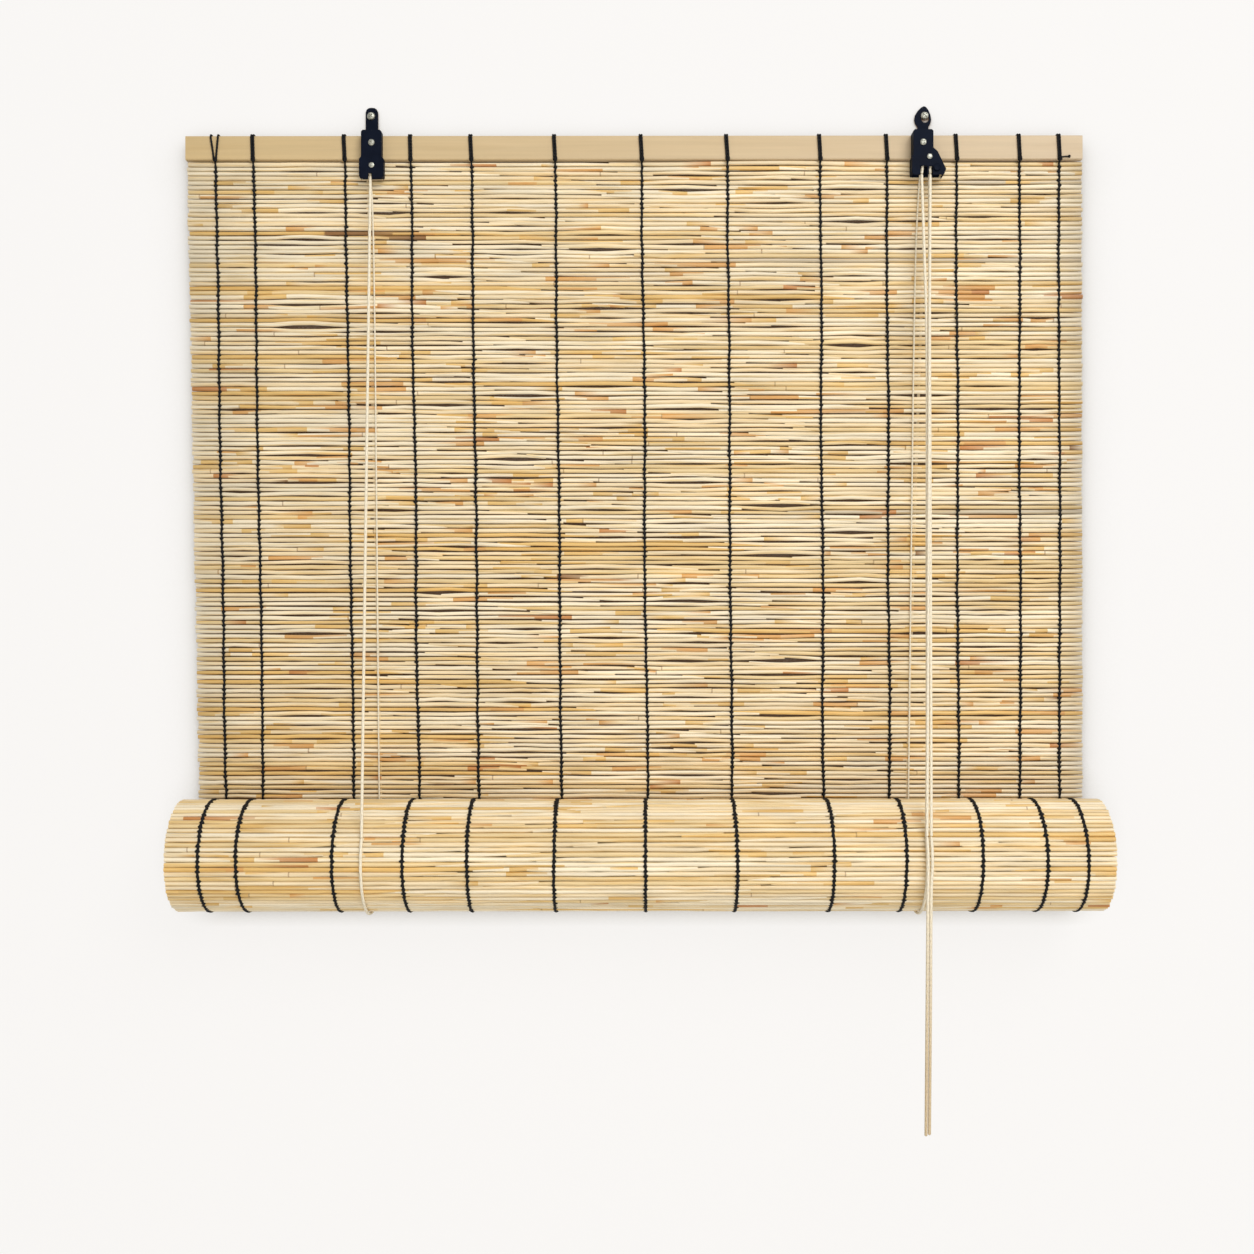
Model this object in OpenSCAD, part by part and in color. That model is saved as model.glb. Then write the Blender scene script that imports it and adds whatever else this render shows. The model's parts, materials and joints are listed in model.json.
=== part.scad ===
// Reed roll-up blind, hung by two wall screws and rolled two thirds of the way up.
// Frame: X to the right, Y into the wall, Z up. The origin lies on the wall plane, midway between
// the two wall screws. Every length is in millimetres.

/* [Blind] */

// Width of the head rail and of the reeds at the top
blind_width = 900; // [600:10:1500]
// Height of the head rail
rail_height = 24; // [18:1:40]
// Thickness of the head rail
rail_thickness = 8; // [6:0.5:14]
// Room between the back of the rail and the wall
wall_gap = 6; // [5:0.5:12]
// Height of the wall screws above the top of the rail
hanger_rise = 24; // [20:1:40]
// Left end of the rail to the left wall screw on a blind 900 wide, in proportion on others
left_inset = 184; // [180:1:190]
// Right end of the rail to the right wall screw on a blind 900 wide, in proportion on others
right_inset = 156; // [152:1:160]

/* [Reeds] */

// Spacing of the reeds down the mat
reed_pitch = 4.6; // [4:0.1:6]
// How far neighbouring reeds press into each other, which makes the mat one piece
reed_press = 0.3; // [0.2:0.05:0.6]
// Reeds that hang between the rail and the roll
hanging_reeds = 149; // [80:1:260]
// How far the left edge of the mat draws in by the time it meets the roll
mat_taper = 11; // [0:1:20]
// Height of the light gaps between reeds
light_gap = 0.7; // [0.4:0.1:1]
// Light gaps in each bay between two warps
gaps_per_bay = 8; // [2:1:10]

/* [Roll] */

// Outside radius of the rolled part
roll_radius = 54; // [48:1:70]
// Spacing of the turns in the roll
turn_pitch = 7.2; // [6.5:0.1:8]
// Height of the bottom batten in the core of the roll
batten_height = 24; // [16:1:24]
// Thickness of the bottom batten
batten_thickness = 8; // [5:0.5:8]

/* [Twine and cords] */

// Left end of the rail to the first warp
warp_left_inset = 30; // [15:1:60]
// Right end of the rail to the last warp
warp_right_inset = 23; // [15:1:60]
// Width of a warp on the mat
warp_w = 2.2; // [1.5:0.1:3]
// Width of a tie on the rail, where the twine lies double
tie_w = 4.4; // [3:0.1:6]
// Thickness of the twine
twine_t = 1.4; // [1:0.1:1.4]
// Diameter of the lift and pull cords
cord_d = 3; // [2.4:0.1:3]
// Diameter of the thin cords on the face of the mat
face_cord_d = 1.7; // [1.2:0.1:1.7]
// How far the pull cords hang below the axis of the roll
pull_drop = 251; // [120:1:500]

/* [Brackets] */

// Sheet thickness of the brackets
plate_t = 1.2; // [0.8:0.1:1.4]
// Radius of a pulley's flanges
pulley_r = 6.8; // [6.4:0.1:7]
// Radius of a wall screw's shank
wall_screw_r = 2.2; // [1.8:0.1:2.4]
// Length of a wall screw behind the wall plane
wall_screw_length = 30; // [20:1:50]
// Travel of the cord lock's pin in its slot
lock_travel = 2; // [1:0.1:2]

/* [Hidden] */

$fn = 48;

// Spacing of the thirteen warps, from left to right, scaled to fit the width
warp_steps = [38, 92, 66, 61, 84, 87, 86, 93, 67, 70, 63, 40];

// Places across the width
width_share = blind_width / 900;
screw_gap = blind_width - (left_inset + right_inset) * width_share;
xsl = -screw_gap / 2;
xsr = screw_gap / 2;
x0 = xsl - left_inset * width_share;
x1 = xsr + right_inset * width_share;
// Middles of the two bracket bodies
xl = xsl + 4;
xr = xsr - 6;
// Places of the slings on the roll
sling_left = xl + 7;
sling_right = xr - 14.7;

// Heights and depths
zt = -hanger_rise;
zb = zt - rail_height;
yb = -wall_gap;
yf = yb - rail_thickness;
ym = (yf + yb) / 2;
reed_d = reed_pitch + reed_press;
reed_r = reed_d / 2;
first_z = zb - 1.5 - reed_r;
last_z = first_z - (hanging_reeds - 1) * reed_pitch;
r_mid = roll_radius - reed_r;
// Axis of the roll
ay = ym - r_mid;
az = last_z - reed_d - 0.3;
// Faces of the mat
mat_front = ym - reed_r;
mat_back = ym + reed_r;
mat_x0 = x0 + mat_taper;

// Cord lines
cord_r = cord_d / 2;
face_r = face_cord_d / 2;
r_sling = roll_radius + 0.3 + cord_r;
r_pull = r_sling + cord_d + 0.4;
// Angle above the roll's front where the strands leave the slings
lead = 25;

// Depths in the brackets: cheek on the rail, then the pulleys, then the front plate
yc = yf - plate_t;
left_room = 6.4;
right_room = 11;
ypl = yc - left_room;
ypr = yc - right_room;
left_line = yc - left_room / 2;
rear_line = yc - 2.8;
front_line = yc - 8.2;

// Axles of the pulleys, and the cord's radius on them
axle_l = [xl + 0.4, zb - 8.2];
axle_r = [xr + 6, zb - 1.5];
r_line = 5;
// Rail screws, cord bores in the rail, and the lock pin at rest
rail_screw_l = [xl + 0.3, zt - 9.7];
rail_screw_r = [xr - 0.3, zt - 11.2];
bore_l = [xl + 4.8, zb + 7.5];
bore_r = [xr - 5.2, zb + 7.5];
bore_radius = 3.4;
pin_r = [xr + 13.3, zb - 12.5];
slot_dir = [-0.433, 0.902];
pin_radius = 1.2;
// Where the cords pass the lower edges of the brackets
mouth_l = [xl - 1.3, left_line - 1.2, zb - 18];
mouth_lift = [xr - 1.4, front_line - 0.7, zb - 18];
mouth_pull_a = [xr + 7.2, front_line - 0.7, zb - 18];
mouth_pull_b = [xr + 7.2, rear_line - 0.7, zb - 18];
staple_l = [xl - 7, zt - 12.5];
staple_r = [xr + 7, zt - 12.5];
// How far the cuts in the plates run on below the rail, past the brackets' lower edges
run_out = 30;

// Places of the warps
function sum_to(i) = i == 0 ? 0 : warp_steps[i - 1] + sum_to(i - 1);
warp_span = blind_width - warp_left_inset - warp_right_inset;
warp_x = [for (i = [0:12]) x0 + warp_left_inset + sum_to(i) * warp_span / sum_to(12)];
// How far a place at the top of the mat has moved to the right at the bottom
function drawn_in(x) = mat_taper * (x1 - x) / blind_width;
warp_fall = first_z - az;
roll_warp_x = [for (x = warp_x) x + drawn_in(x)];

// The turns of the roll: each keeps its radius and steps in over the last 45 degrees, and the
// steps are fitted so that the innermost turn closes on the batten
core_clear = 0.4;
core_r = sqrt(pow(batten_height, 2) + pow(batten_thickness, 2)) / 2 + reed_r + core_clear;
turns = max(1, round((r_mid - core_r) / turn_pitch));
turn_fit = (r_mid - core_r - 0.05) / turns;
function turn_r(a) = r_mid - turn_fit * (floor(a / 360) + max(0, (a % 360 - 315) / 45));
function turn_slope(a) = a % 360 > 315 ? turn_fit * 4 / PI : 0;
function turn_step(a) = reed_pitch / sqrt(pow(turn_r(a), 2) + pow(turn_slope(a), 2)) * 180 / PI;
roll_angles = [for (a = 0; turn_r(a) > core_r; a = a + turn_step(a)) a];

// A round cord swept along a route; a fourth number at a point is the radius there
function unit(v) = v / norm(v);
function along(p) =
    [for (i = [0:len(p) - 1]) unit(p[min(i + 1, len(p) - 1)] - p[max(i - 1, 0)])];
function carry(n, t) = unit(n - (n * t) * t);
function sides_of(t) =
    [for (i = 0, n = carry(abs(t[0][2]) < 0.8 ? [0, 0, 1] : [0, 1, 0], t[0]); i < len(t);
          i = i + 1, n = i < len(t) ? carry(n, t[i]) : n) n];

module cord(route, r) {
    p = [for (q = route) [q[0], q[1], q[2]]];
    t = along(p);
    n = sides_of(t);
    k = 8;
    points = [for (i = [0:len(p) - 1], j = [0:k - 1])
        let (a = 360 * j / k, radius = len(route[i]) > 3 ? route[i][3] : r)
        p[i] + radius * (cos(a) * n[i] + sin(a) * cross(t[i], n[i]))];
    walls = [for (i = [0:len(p) - 2], j = [0:k - 1])
        [i * k + j, (i + 1) * k + j, (i + 1) * k + (j + 1) % k, i * k + (j + 1) % k]];
    first = [for (j = [0:k - 1]) j];
    last = [for (j = [k - 1:-1:0]) (len(p) - 1) * k + j];
    polyhedron(points, concat([first], walls, [last]), convexity = 6);
}

// Points on a circle about an axle, seen from the front
function round_axle(c, y, angles) = [for (a = angles) [c[0] + r_line * cos(a), y, c[1] + r_line * sin(a)]];

// A route in equal steps from one point to another
function steps(a, b, n) = [for (i = [0:n]) a + (b - a) * i / n];

// Front ends of the strands on the roll, and a route's end drawn back a little so that two cords meet
// without cutting into each other
function on_roll(x, r, a) = [x, ay - r * cos(a), az + r * sin(a)];
meet_gap = 0.5;
function drawn_back(a, b) = b + unit(a - b) * meet_gap;

// Routes of the cords
left_front_route = steps(mouth_l, drawn_back(mouth_l, on_roll(sling_left, r_sling, lead)), 12);
right_front_route = steps(mouth_lift, drawn_back(mouth_lift, on_roll(sling_right, r_sling, lead)), 12);
left_back_route = [
    [sling_left, ay + r_sling, az],
    [xl, ay + r_sling, az + (zb - az) * 0.536],
    [xl - 6.4, ay + r_sling, zb - 16],
    [xl - 6.8, yb + 1.7, zb - 4],
    [xl - 7, yb + 1.7, zt - 16],
    [xl - 7, yb + 1.9, zt - 11.6],
    [xl - 7, yb + 2.9, zt - 10.6, 2.4],
    [xl - 7, yb + 3, zt - 9.2, 2.7],
    [xl - 7, yb + 3, zt - 7.8, 2.2],
    [xl - 7, yb + 3, zt - 7, 1]
];
right_back_route = [
    [sling_right, ay + r_sling, az],
    [xr - 4, ay + r_sling, az + (zb - az) * 0.536],
    [xr + 6.4, ay + r_sling, zb - 16],
    [xr + 6.8, yb + 1.7, zb - 4],
    [xr + 7, yb + 1.7, zt - 16],
    [xr + 7, yb + 1.9, zt - 11.6],
    [xr + 7, yb + 2.9, zt - 10.6, 2.4],
    [xr + 7, yb + 3, zt - 9.2, 2.7],
    [xr + 7, yb + 3, zt - 7.8, 2.2],
    [xr + 7, yb + 3, zt - 7, 1]
];
left_face_route = [
    [xl + 6, mat_front - 1, az + r_sling * sin(lead)],
    [xl - 3, mat_front - 1, zb - 27],
    [xl - 3.3, mat_front - 1.2, zb - 22.6],
    [xl - 3.4, mat_front - 2.1, zb - 19.4],
    [xl - 3.4, yc - 0.6, zb - 18.2],
    [xl - 3.4, yc - 1.3, zb - 17.7, 1.4],
    [xl - 3.4, yc - 2.1, zb - 17.3, 1.1]
];
right_face_route = [
    [xr - 13.6, mat_front - 1, az + r_sling * sin(lead)],
    [xr - 5.1, mat_front - 1, zb - (zb - az) * 0.1275],
    [xr - 1.9, mat_front - 1, zb - 25.5],
    [xr - 1.6, mat_front - 1.2, zb - 21],
    [xr - 1.5, mat_front - 2.1, zb - 17.8],
    [xr - 1.5, yc - 0.6, zb - 16.6],
    [xr - 1.5, yc - 1.3, zb - 16.1, 1.4],
    [xr - 1.5, yc - 2.1, zb - 15.7, 1.1]
];
cross_route = concat(
    [mouth_l, [xl - 2.6, left_line - 0.15, zb - 13]],
    round_axle(axle_l, left_line, [184, 155, 125, 95]),
    [
        [xl + 2.8, left_line, zb - 2.2],
        [xl + 4.4, left_line + 0.1, zb + 1.8],
        [xl + 4.9, left_line + 0.8, zb + 5.2],
        [xl + 4.9, yf - 1, zb + 7.1],
        [xl + 4.9, yf + 3, zb + 7.5],
        [xl + 5.2, yb - 2, zb + 7.7],
        [xl + 6.6, yb + 1, zb + 7.9],
        [xl + 9.5, yb + 2.7, zb + 8],
        [xl + 14, yb + 3.2, zb + 8],
        [xr - 14, yb + 3.2, zb + 8],
        [xr - 9.8, yb + 2.7, zb + 8],
        [xr - 7, yb + 1, zb + 7.9],
        [xr - 5.6, yb - 2, zb + 7.7],
        [xr - 5.2, yf + 3, zb + 7.4],
        [xr - 5, yf - 0.6, zb + 6.8],
        [xr - 4, rear_line + 1, zb + 6],
        [xr - 1.4, rear_line, zb + 5.1],
        [xr + 2, rear_line, zb + 4.1]
    ],
    round_axle(axle_r, rear_line, [90, 60, 30, 0]),
    [
        [xr + 10.2, rear_line, zb - 5],
        [xr + 8.3, rear_line, zb - 8.2],
        [xr + 7.3, rear_line - 0.2, zb - 11.5],
        mouth_pull_b
    ]
);
lift_head_route = concat(
    [mouth_lift, [xr - 0.4, front_line - 0.3, zb - 10]],
    round_axle(axle_r, front_line, [180, 150, 120, 90, 60, 30, 0]),
    [
        [xr + 10.2, front_line, zb - 5],
        [xr + 8.3, front_line, zb - 8.2],
        [xr + 7.3, front_line - 0.2, zb - 11.5],
        mouth_pull_a
    ]
);
tail_a_x = sling_right;
tail_b_x = sling_right + 4;
pull_a_route = steps(mouth_pull_a, drawn_back(mouth_pull_a, on_roll(tail_a_x, r_pull, lead)), 12);
pull_b_route = steps(mouth_pull_b, drawn_back(mouth_pull_b, on_roll(tail_b_x, r_pull, lead)), 12);
tail_a_route = concat(
    [for (a = [lead, 16, 8, 0]) on_roll(tail_a_x, r_pull, a)],
    steps([tail_a_x - 0.2, ay - r_pull, az - 20], [tail_a_x - 2.3, ay - r_pull, az - pull_drop], 8)
);
tail_b_route = concat(
    [for (a = [lead, 16, 8, 0]) on_roll(tail_b_x, r_pull, a)],
    steps([tail_b_x, ay - r_pull, az - 20], [tail_b_x - 1.7, ay - r_pull, az + 1 - pull_drop], 8)
);

// Outlines of the bracket plates, seen from the front
left_outline = [
    [xl - 8.6, zt + 3.1], [xl + 8.6, zt + 3.1], [xl + 10.2, zt + 1.5], [xl + 10.2, zb + 0.4],
    [xl + 12.2, zb - 1.6], [xl + 12.2, zb - 18.6], [xl + 11.3, zb - 20.7], [xl + 9.2, zb - 21.6],
    [xl - 9.2, zb - 21.6], [xl - 11.3, zb - 20.7], [xl - 12.2, zb - 18.6], [xl - 12.2, zb - 1.6],
    [xl - 10.2, zb + 0.4], [xl - 10.2, zt + 1.5]
];
left_hollow = [
    [xl - 10.2 + plate_t, zt + 3.1 - plate_t], [xl + 10.2 - plate_t, zt + 3.1 - plate_t],
    [xl + 10.2 - plate_t, zb - 0.1], [xl + 12.2 - plate_t, zb - 2.1], [xl + 12.2 - plate_t, zb - run_out],
    [xl - 12.2 + plate_t, zb - run_out], [xl - 12.2 + plate_t, zb - 2.1], [xl - 10.2 + plate_t, zb - 0.1]
];
right_outline = [
    [xr - 8.6, zt + 1.7], [xr + 8.2, zt + 1.7], [xr + 9.8, zt + 0.1], [xr + 9.8, zb + 7.5],
    [xr + 13.9, zb + 3.9], [xr + 22.4, zb - 13.8], [xr + 20.2, zb - 19.5], [xr - 9.5, zb - 19.5],
    [xr - 11.5, zb - 17.5], [xr - 11.5, zb - 1], [xr - 10.2, zb + 0.5], [xr - 10.2, zt + 0.1]
];
right_hollow = [
    [xr - 10.2 + plate_t, zt + 1.7 - plate_t], [xr + 9.8 - plate_t, zt + 1.7 - plate_t],
    [xr + 9.8 - plate_t, zb + 6.9], [xr + 13.4 - plate_t, zb + 3.5], [xr + 22 - plate_t, zb - 14.2],
    [xr + 15.8, zb - run_out], [xr - 11.5 + plate_t, zb - run_out], [xr - 11.5 + plate_t, zb - 1.4],
    [xr - 10.2 + plate_t, zb + 0.1]
];
left_tab = [
    [xsl - 5.5, zt + 3.1], [xsl - 5.5, 4], [xsl - 4.6, 6.6], [xsl - 2.6, 8.2], [xsl, 8.7],
    [xsl + 3.4, 8.4], [xsl + 5.6, 7], [xsl + 6.8, 4.6], [xsl + 7, 2], [xsl + 7, zt + 3.1]
];
right_tab = [
    [xsr - 7.1, zt + 1.7], [xsr - 7.1, -11], [xsr - 9.4, -8], [xsr - 10.4, -4], [xsr - 9.6, 0.5],
    [xsr - 7, 4.8], [xsr - 3.4, 8.4], [xsr - 0.6, 9.9], [xsr + 1.6, 9], [xsr + 4, 5.8],
    [xsr + 6, 1], [xsr + 6.8, -4], [xsr + 5.8, -8], [xsr + 3.9, -11], [xsr + 3.9, zt + 1.7]
];
left_cheek_outline = [
    [xl - 8.8, zt - 4], [xl + 8.8, zt - 4], [xl + 8.8, zb + 0.6], [xl + 10.2, zb - 2.4],
    [xl + 10.2, zb - 20], [xl - 10.2, zb - 20], [xl - 10.2, zb - 2.4], [xl - 8.8, zb + 0.6]
];
right_cheek_outline = [
    [xr - 8.8, zt - 4], [xr + 8.4, zt - 4], [xr + 8.4, zb + 7], [xr + 12, zb + 3],
    [xr + 19.2, zb - 12.5], [xr + 17.6, zb - 18.5], [xr - 9.6, zb - 18.5], [xr - 9.6, zb - 2.4],
    [xr - 8.8, zb + 0.6]
];

reed_colour = [0.86, 0.78, 0.6];
wood_colour = [0.88, 0.79, 0.62];
black = [0.05, 0.05, 0.07];
cream = [0.9, 0.86, 0.76];
zinc = [0.7, 0.7, 0.68];
nylon = [0.2, 0.2, 0.21];

// Drawings made in depth and height, drawn out along the width
module across(x, width) {
    translate([x, 0, 0]) rotate([90, 0, 90]) linear_extrude(width) children();
}

// Drawings made in width and height, drawn out from a depth towards the front
module forward(y, depth) {
    translate([0, y, 0]) rotate([90, 0, 0]) linear_extrude(depth) children();
}

// Turned shapes whose axis runs to the front from a point
module turned(x, y, z) {
    translate([x, y, z]) rotate([90, 0, 0]) rotate_extrude() children();
}

module head_rail() {
    c = 0.8;
    color(wood_colour) difference() {
        across(x0, blind_width) polygon([
            [yf + c, zt], [yb - c, zt], [yb, zt - c], [yb, zb + c],
            [yb - c, zb], [yf + c, zb], [yf, zb + c], [yf, zt - c]]);
        for (b = [bore_l, bore_r])
            translate([b[0], yb + 1, b[1]]) rotate([90, 0, 0]) cylinder(r = bore_radius, h = rail_thickness + 2);
        for (s = [rail_screw_l, rail_screw_r])
            translate([s[0], yf + 6, s[1]]) rotate([90, 0, 0]) cylinder(r = 1.75, h = 7);
        for (s = [staple_l, staple_r], side = [-1, 1])
            translate([s[0] + side * 2.9 - 0.7, yb - 5, s[1] - 0.7]) cube([1.4, 6, 1.4]);
    }
}

// Reeds that lie side by side, joined where they touch, with light gaps cut between them
module reed_mat() {
    color(reed_colour) difference() {
        across(x0 + 0.5, blind_width)
            for (i = [0:hanging_reeds - 1])
                translate([ym, first_z - i * reed_pitch]) circle(r = reed_r);
        forward(mat_back + 1, reed_d + 2) polygon([
            [x0 - 5, first_z + 5], [x0 + 1.2, first_z + 5], [x0 + 1.2, first_z],
            [mat_x0 + 1.2, az], [x0 - 5, az]]);
        for (b = [0:11], k = [0:gaps_per_bay - 1]) {
            joint = 5 + floor(k * (hanging_reeds - 18) / gaps_per_bay) + (b * 5) % 11;
            lean = drawn_in(warp_x[b]) * (joint + 0.5) / hanging_reeds;
            bay = warp_x[b + 1] - warp_x[b];
            inset = bay * (0.12 + (joint * 7) % 12 * 0.012);
            translate([warp_x[b] + lean + inset, ym - 4, first_z - (joint + 0.5) * reed_pitch - light_gap / 2])
                cube([bay * 0.8 - inset, 8, light_gap]);
        }
    }
}

// The rolled part: the mat wound in turns, the outer one leading on from the hanging mat
module rolled_mat() {
    color(reed_colour) across(mat_x0, x1 + 0.8 - mat_x0)
        for (a = roll_angles)
            translate([ay + turn_r(a) * cos(a), az - turn_r(a) * sin(a)]) circle(r = reed_r);
}

module bottom_batten() {
    color(wood_colour) translate([mat_x0 + 1, ay, az]) rotate([30, 0, 0])
        translate([0, -batten_thickness / 2, -batten_height / 2])
            cube([x1 - mat_x0 - 2, batten_thickness, batten_height]);
}

// Each warp is tied over the rail with its twine lying double
module rail_ties() {
    t = twine_t;
    color(black) for (x = warp_x)
        across(x - tie_w / 2, tie_w) polygon([
            [yf - t, zb - 1], [yf - t, zt + t], [yb + t, zt + t], [yb + t, zb - 1],
            [yb, zb - 1], [yb, zt], [yf, zt], [yf, zb - 1]]);
}

// A warp has one leg on the face of the mat and one on its back
module warp_thread(i) {
    t = twine_t;
    f = mat_front - 0.05;
    b = mat_back + 0.05;
    color(black) translate([warp_x[i], 0, first_z])
        rotate([0, -atan(drawn_in(warp_x[i]) / warp_fall), 0]) translate([0, 0, -first_z])
            across(-warp_w / 2, warp_w) {
                polygon([
                    [yf, zb - 1.1], [yf - t, zb - 1.1], [f - t, zb - 3.6], [f - t, az + 20],
                    [f, az + 20], [f, zb - 3.6]]);
                polygon([
                    [yb, zb - 1.1], [yb + t, zb - 1.1], [b + t, zb - 3.6], [b + t, az + 0.4],
                    [b, az + 0.4], [b, zb - 3.6]]);
            }
}

// The warps go on round the outside of the roll
module roll_warp_threads() {
    color(black) for (x = roll_warp_x)
        translate([x, ay, az]) rotate([90, 0, 90]) rotate([0, 0, -312]) rotate_extrude(angle = 310)
            translate([roll_radius + 0.05, -warp_w / 2]) square([twine_t, warp_w]);
}

// Pressed plate: a tab on the wall, a shelf over the rail, a front and folded sides
module left_bracket() {
    color(black) difference() {
        union() {
            forward(yf, -ypl + plate_t + yf) polygon(left_outline);
            forward(0, plate_t) polygon(left_tab);
            translate([0, 0, zt + 3.1 - plate_t]) linear_extrude(plate_t) polygon([
                [xl - 8.6, yf], [xl + 8.6, yf], [xl + 8.6, yf + 5], [xsl + 7, -plate_t], [xsl + 7, 0],
                [xsl - 5.5, 0], [xsl - 5.5, -plate_t], [xl - 8.6, -plate_t - 3]]);
        }
        forward(yf + 1, -ypl + yf + 1) polygon(left_hollow);
        forward(1, plate_t + 2) translate([xsl, 0]) circle(r = wall_screw_r + 0.4);
        forward(ypl + 1, plate_t + 2) {
            translate([xl - 3.2, zb - run_out]) square([3.8, run_out - 16]);
            translate(rail_screw_l) circle(r = 1.8);
            translate(axle_l) circle(r = 2.05);
        }
    }
}

module left_cheek() {
    color(black) forward(yf, plate_t) difference() {
        polygon(left_cheek_outline);
        translate(rail_screw_l) circle(r = 1.8);
        translate(axle_l) circle(r = 2.05);
        translate(bore_l) circle(r = bore_radius);
        translate([xl - 4.5, zb - run_out]) square([2.2, run_out - 16.8]);
    }
}

module left_collar() {
    color(zinc) turned(rail_screw_l[0], yc, rail_screw_l[1])
        translate([1.8, 0]) square([1.2, left_room]);
}

// Grooved wheel for one cord
module pulley(c, y, w) {
    color(nylon) turned(c[0], y + w / 2, c[1]) polygon([
        [2.08, 0], [pulley_r, 0], [pulley_r, 0.4], [5.6, w / 2 - 1.75], [3.1, w / 2 - 1.75],
        [3.1, w / 2 + 1.75], [5.6, w / 2 + 1.75], [pulley_r, w - 0.4], [pulley_r, w], [2.08, w]]);
}

module left_pulley() pulley(axle_l, left_line, 5.6);

module right_pulley_front() pulley(axle_r, front_line, 5);

module right_pulley_rear() pulley(axle_r, rear_line, 5);

// Rivet that is the pulleys' axle, headed on the front plate
module axle_rivet(c, room) {
    color(zinc) turned(c[0], yf - 0.02, c[1]) polygon([
        [0, 0], [2, 0], [2, room + 2 * plate_t], [2.75, room + 2 * plate_t],
        [2.6, room + 2 * plate_t + 0.6], [1.6, room + 2 * plate_t + 1.1], [0, room + 2 * plate_t + 1.3]]);
}

module left_axle_rivet() axle_rivet(axle_l, left_room);

module right_axle_rivet() axle_rivet(axle_r, right_room);

// Cross recess in a screw's head
module cross_recess(size, depth) {
    for (a = [45, 135]) rotate([0, 0, a]) translate([-size / 2, -0.45, -depth]) cube([size, 0.9, depth + 1]);
}

// Wood screw through the bracket into the rail
module rail_screw(c, room) {
    top = room + 2 * plate_t;
    color(zinc) translate([c[0], yf, c[1]]) rotate([90, 0, 0]) difference() {
        rotate_extrude() polygon([
            [0, -5.8], [1, -5], [1.7, -3.6], [1.7, top], [3.25, top], [3.1, top + 0.9],
            [2.1, top + 1.6], [0, top + 1.8]]);
        translate([0, 0, top + 1.8]) cross_recess(3.6, 1.1);
    }
}

module left_rail_screw() rail_screw(rail_screw_l, left_room);

module right_rail_screw() rail_screw(rail_screw_r, right_room);

// Screw that fastens a bracket to the wall
module wall_screw(x) {
    n = wall_screw_length + plate_t;
    color(zinc) translate([x, -plate_t, 0]) rotate([90, 0, 0]) difference() {
        rotate_extrude() polygon([
            [0, -n], [0.6, -n + 1.2], [wall_screw_r, -n + 4], [wall_screw_r, 0.05 - plate_t],
            [wall_screw_r + 0.3, 0.05 - plate_t], [wall_screw_r + 0.3, 0], [4, 0], [3.9, 1],
            [3.2, 2], [1.8, 2.6], [0, 2.8]]);
        translate([0, 0, 2.8]) cross_recess(4.6, 1.5);
    }
}

module left_wall_screw() wall_screw(xsl);

module right_wall_screw() wall_screw(xsr);

// Slot for the lock pin, as wide as the pin with some play
module lock_slot() {
    for (k = [0, 1]) translate(pin_r + slot_dir * lock_travel * k) circle(r = pin_radius + 0.3);
    translate(pin_r) rotate([0, 0, 25.6]) translate([-pin_radius - 0.3, 0])
        square([2 * pin_radius + 0.6, lock_travel]);
}

module right_bracket() {
    color(black) difference() {
        union() {
            forward(yf, -ypr + plate_t + yf) polygon(right_outline);
            forward(0, plate_t) polygon(right_tab);
            translate([0, 0, zt + 1.7 - plate_t]) linear_extrude(plate_t) polygon([
                [xr - 8.6, yf], [xr + 8.2, yf], [xr + 8.2, yf + 5], [xsr + 3.9, -plate_t], [xsr + 3.9, 0],
                [xsr - 7.1, 0], [xsr - 7.1, -plate_t], [xr - 8.6, yf + 5]]);
        }
        forward(yf + 1, -ypr + yf + 1) polygon(right_hollow);
        forward(1, plate_t + 2) {
            translate([xsr, 0]) circle(r = wall_screw_r + 0.4);
            translate([xsr + 0.6, -2.8]) circle(r = 3.9);
        }
        forward(ypr + 1, plate_t + 2) {
            translate([xr - 3.3, zb - run_out]) square([7, run_out - 10.7]);
            translate([xr + 5.3, zb - run_out]) square([3.8, run_out - 11]);
            translate(rail_screw_r) circle(r = 1.8);
            translate(axle_r) circle(r = 2.05);
            lock_slot();
        }
    }
}

module right_cheek() {
    color(black) forward(yf, plate_t) difference() {
        polygon(right_cheek_outline);
        translate(rail_screw_r) circle(r = 1.8);
        translate(axle_r) circle(r = 2.05);
        translate(bore_r) circle(r = bore_radius);
        translate([xr - 2.6, zb - run_out]) square([2.2, run_out - 15.2]);
        lock_slot();
    }
}

module right_collar() {
    color(zinc) turned(rail_screw_r[0], yc, rail_screw_r[1])
        translate([1.8, 0]) square([1.2, right_room]);
}

// Pin of the cord lock, with a round head on the front plate
module lock_pin() {
    front = right_room + 2 * plate_t;
    color(black) turned(pin_r[0], yf, pin_r[1]) polygon([
        [0, 0.3], [pin_radius, 0.3], [pin_radius, front + 0.3], [3.5, front + 0.3], [3.5, front + 1.6],
        [2.9, front + 2.1], [0, front + 2.1]]);
}

module lock_roller() {
    color(nylon) turned(pin_r[0], yc - 0.3, pin_r[1])
        translate([pin_radius + 0.08, 0]) square([3 - pin_radius - 0.08, right_room - 0.6]);
}

// Wire staples that hold the standing ends of the lift cords on the back of the rail
module cord_staples() {
    color(zinc) for (s = [staple_l, staple_r]) translate([s[0], yb, s[1]]) union() {
        for (side = [-1, 1]) translate([side * 2.9 - 0.7, -5, -0.7]) cube([1.4, 9, 1.4]);
        translate([-3.6, 3.4, -0.7]) cube([7.2, 1.2, 1.4]);
    }
}

module left_lift_cord_front() color(cream) cord(left_front_route, cord_r);

module left_lift_cord_back() color(cream) cord(left_back_route, cord_r);

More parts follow.
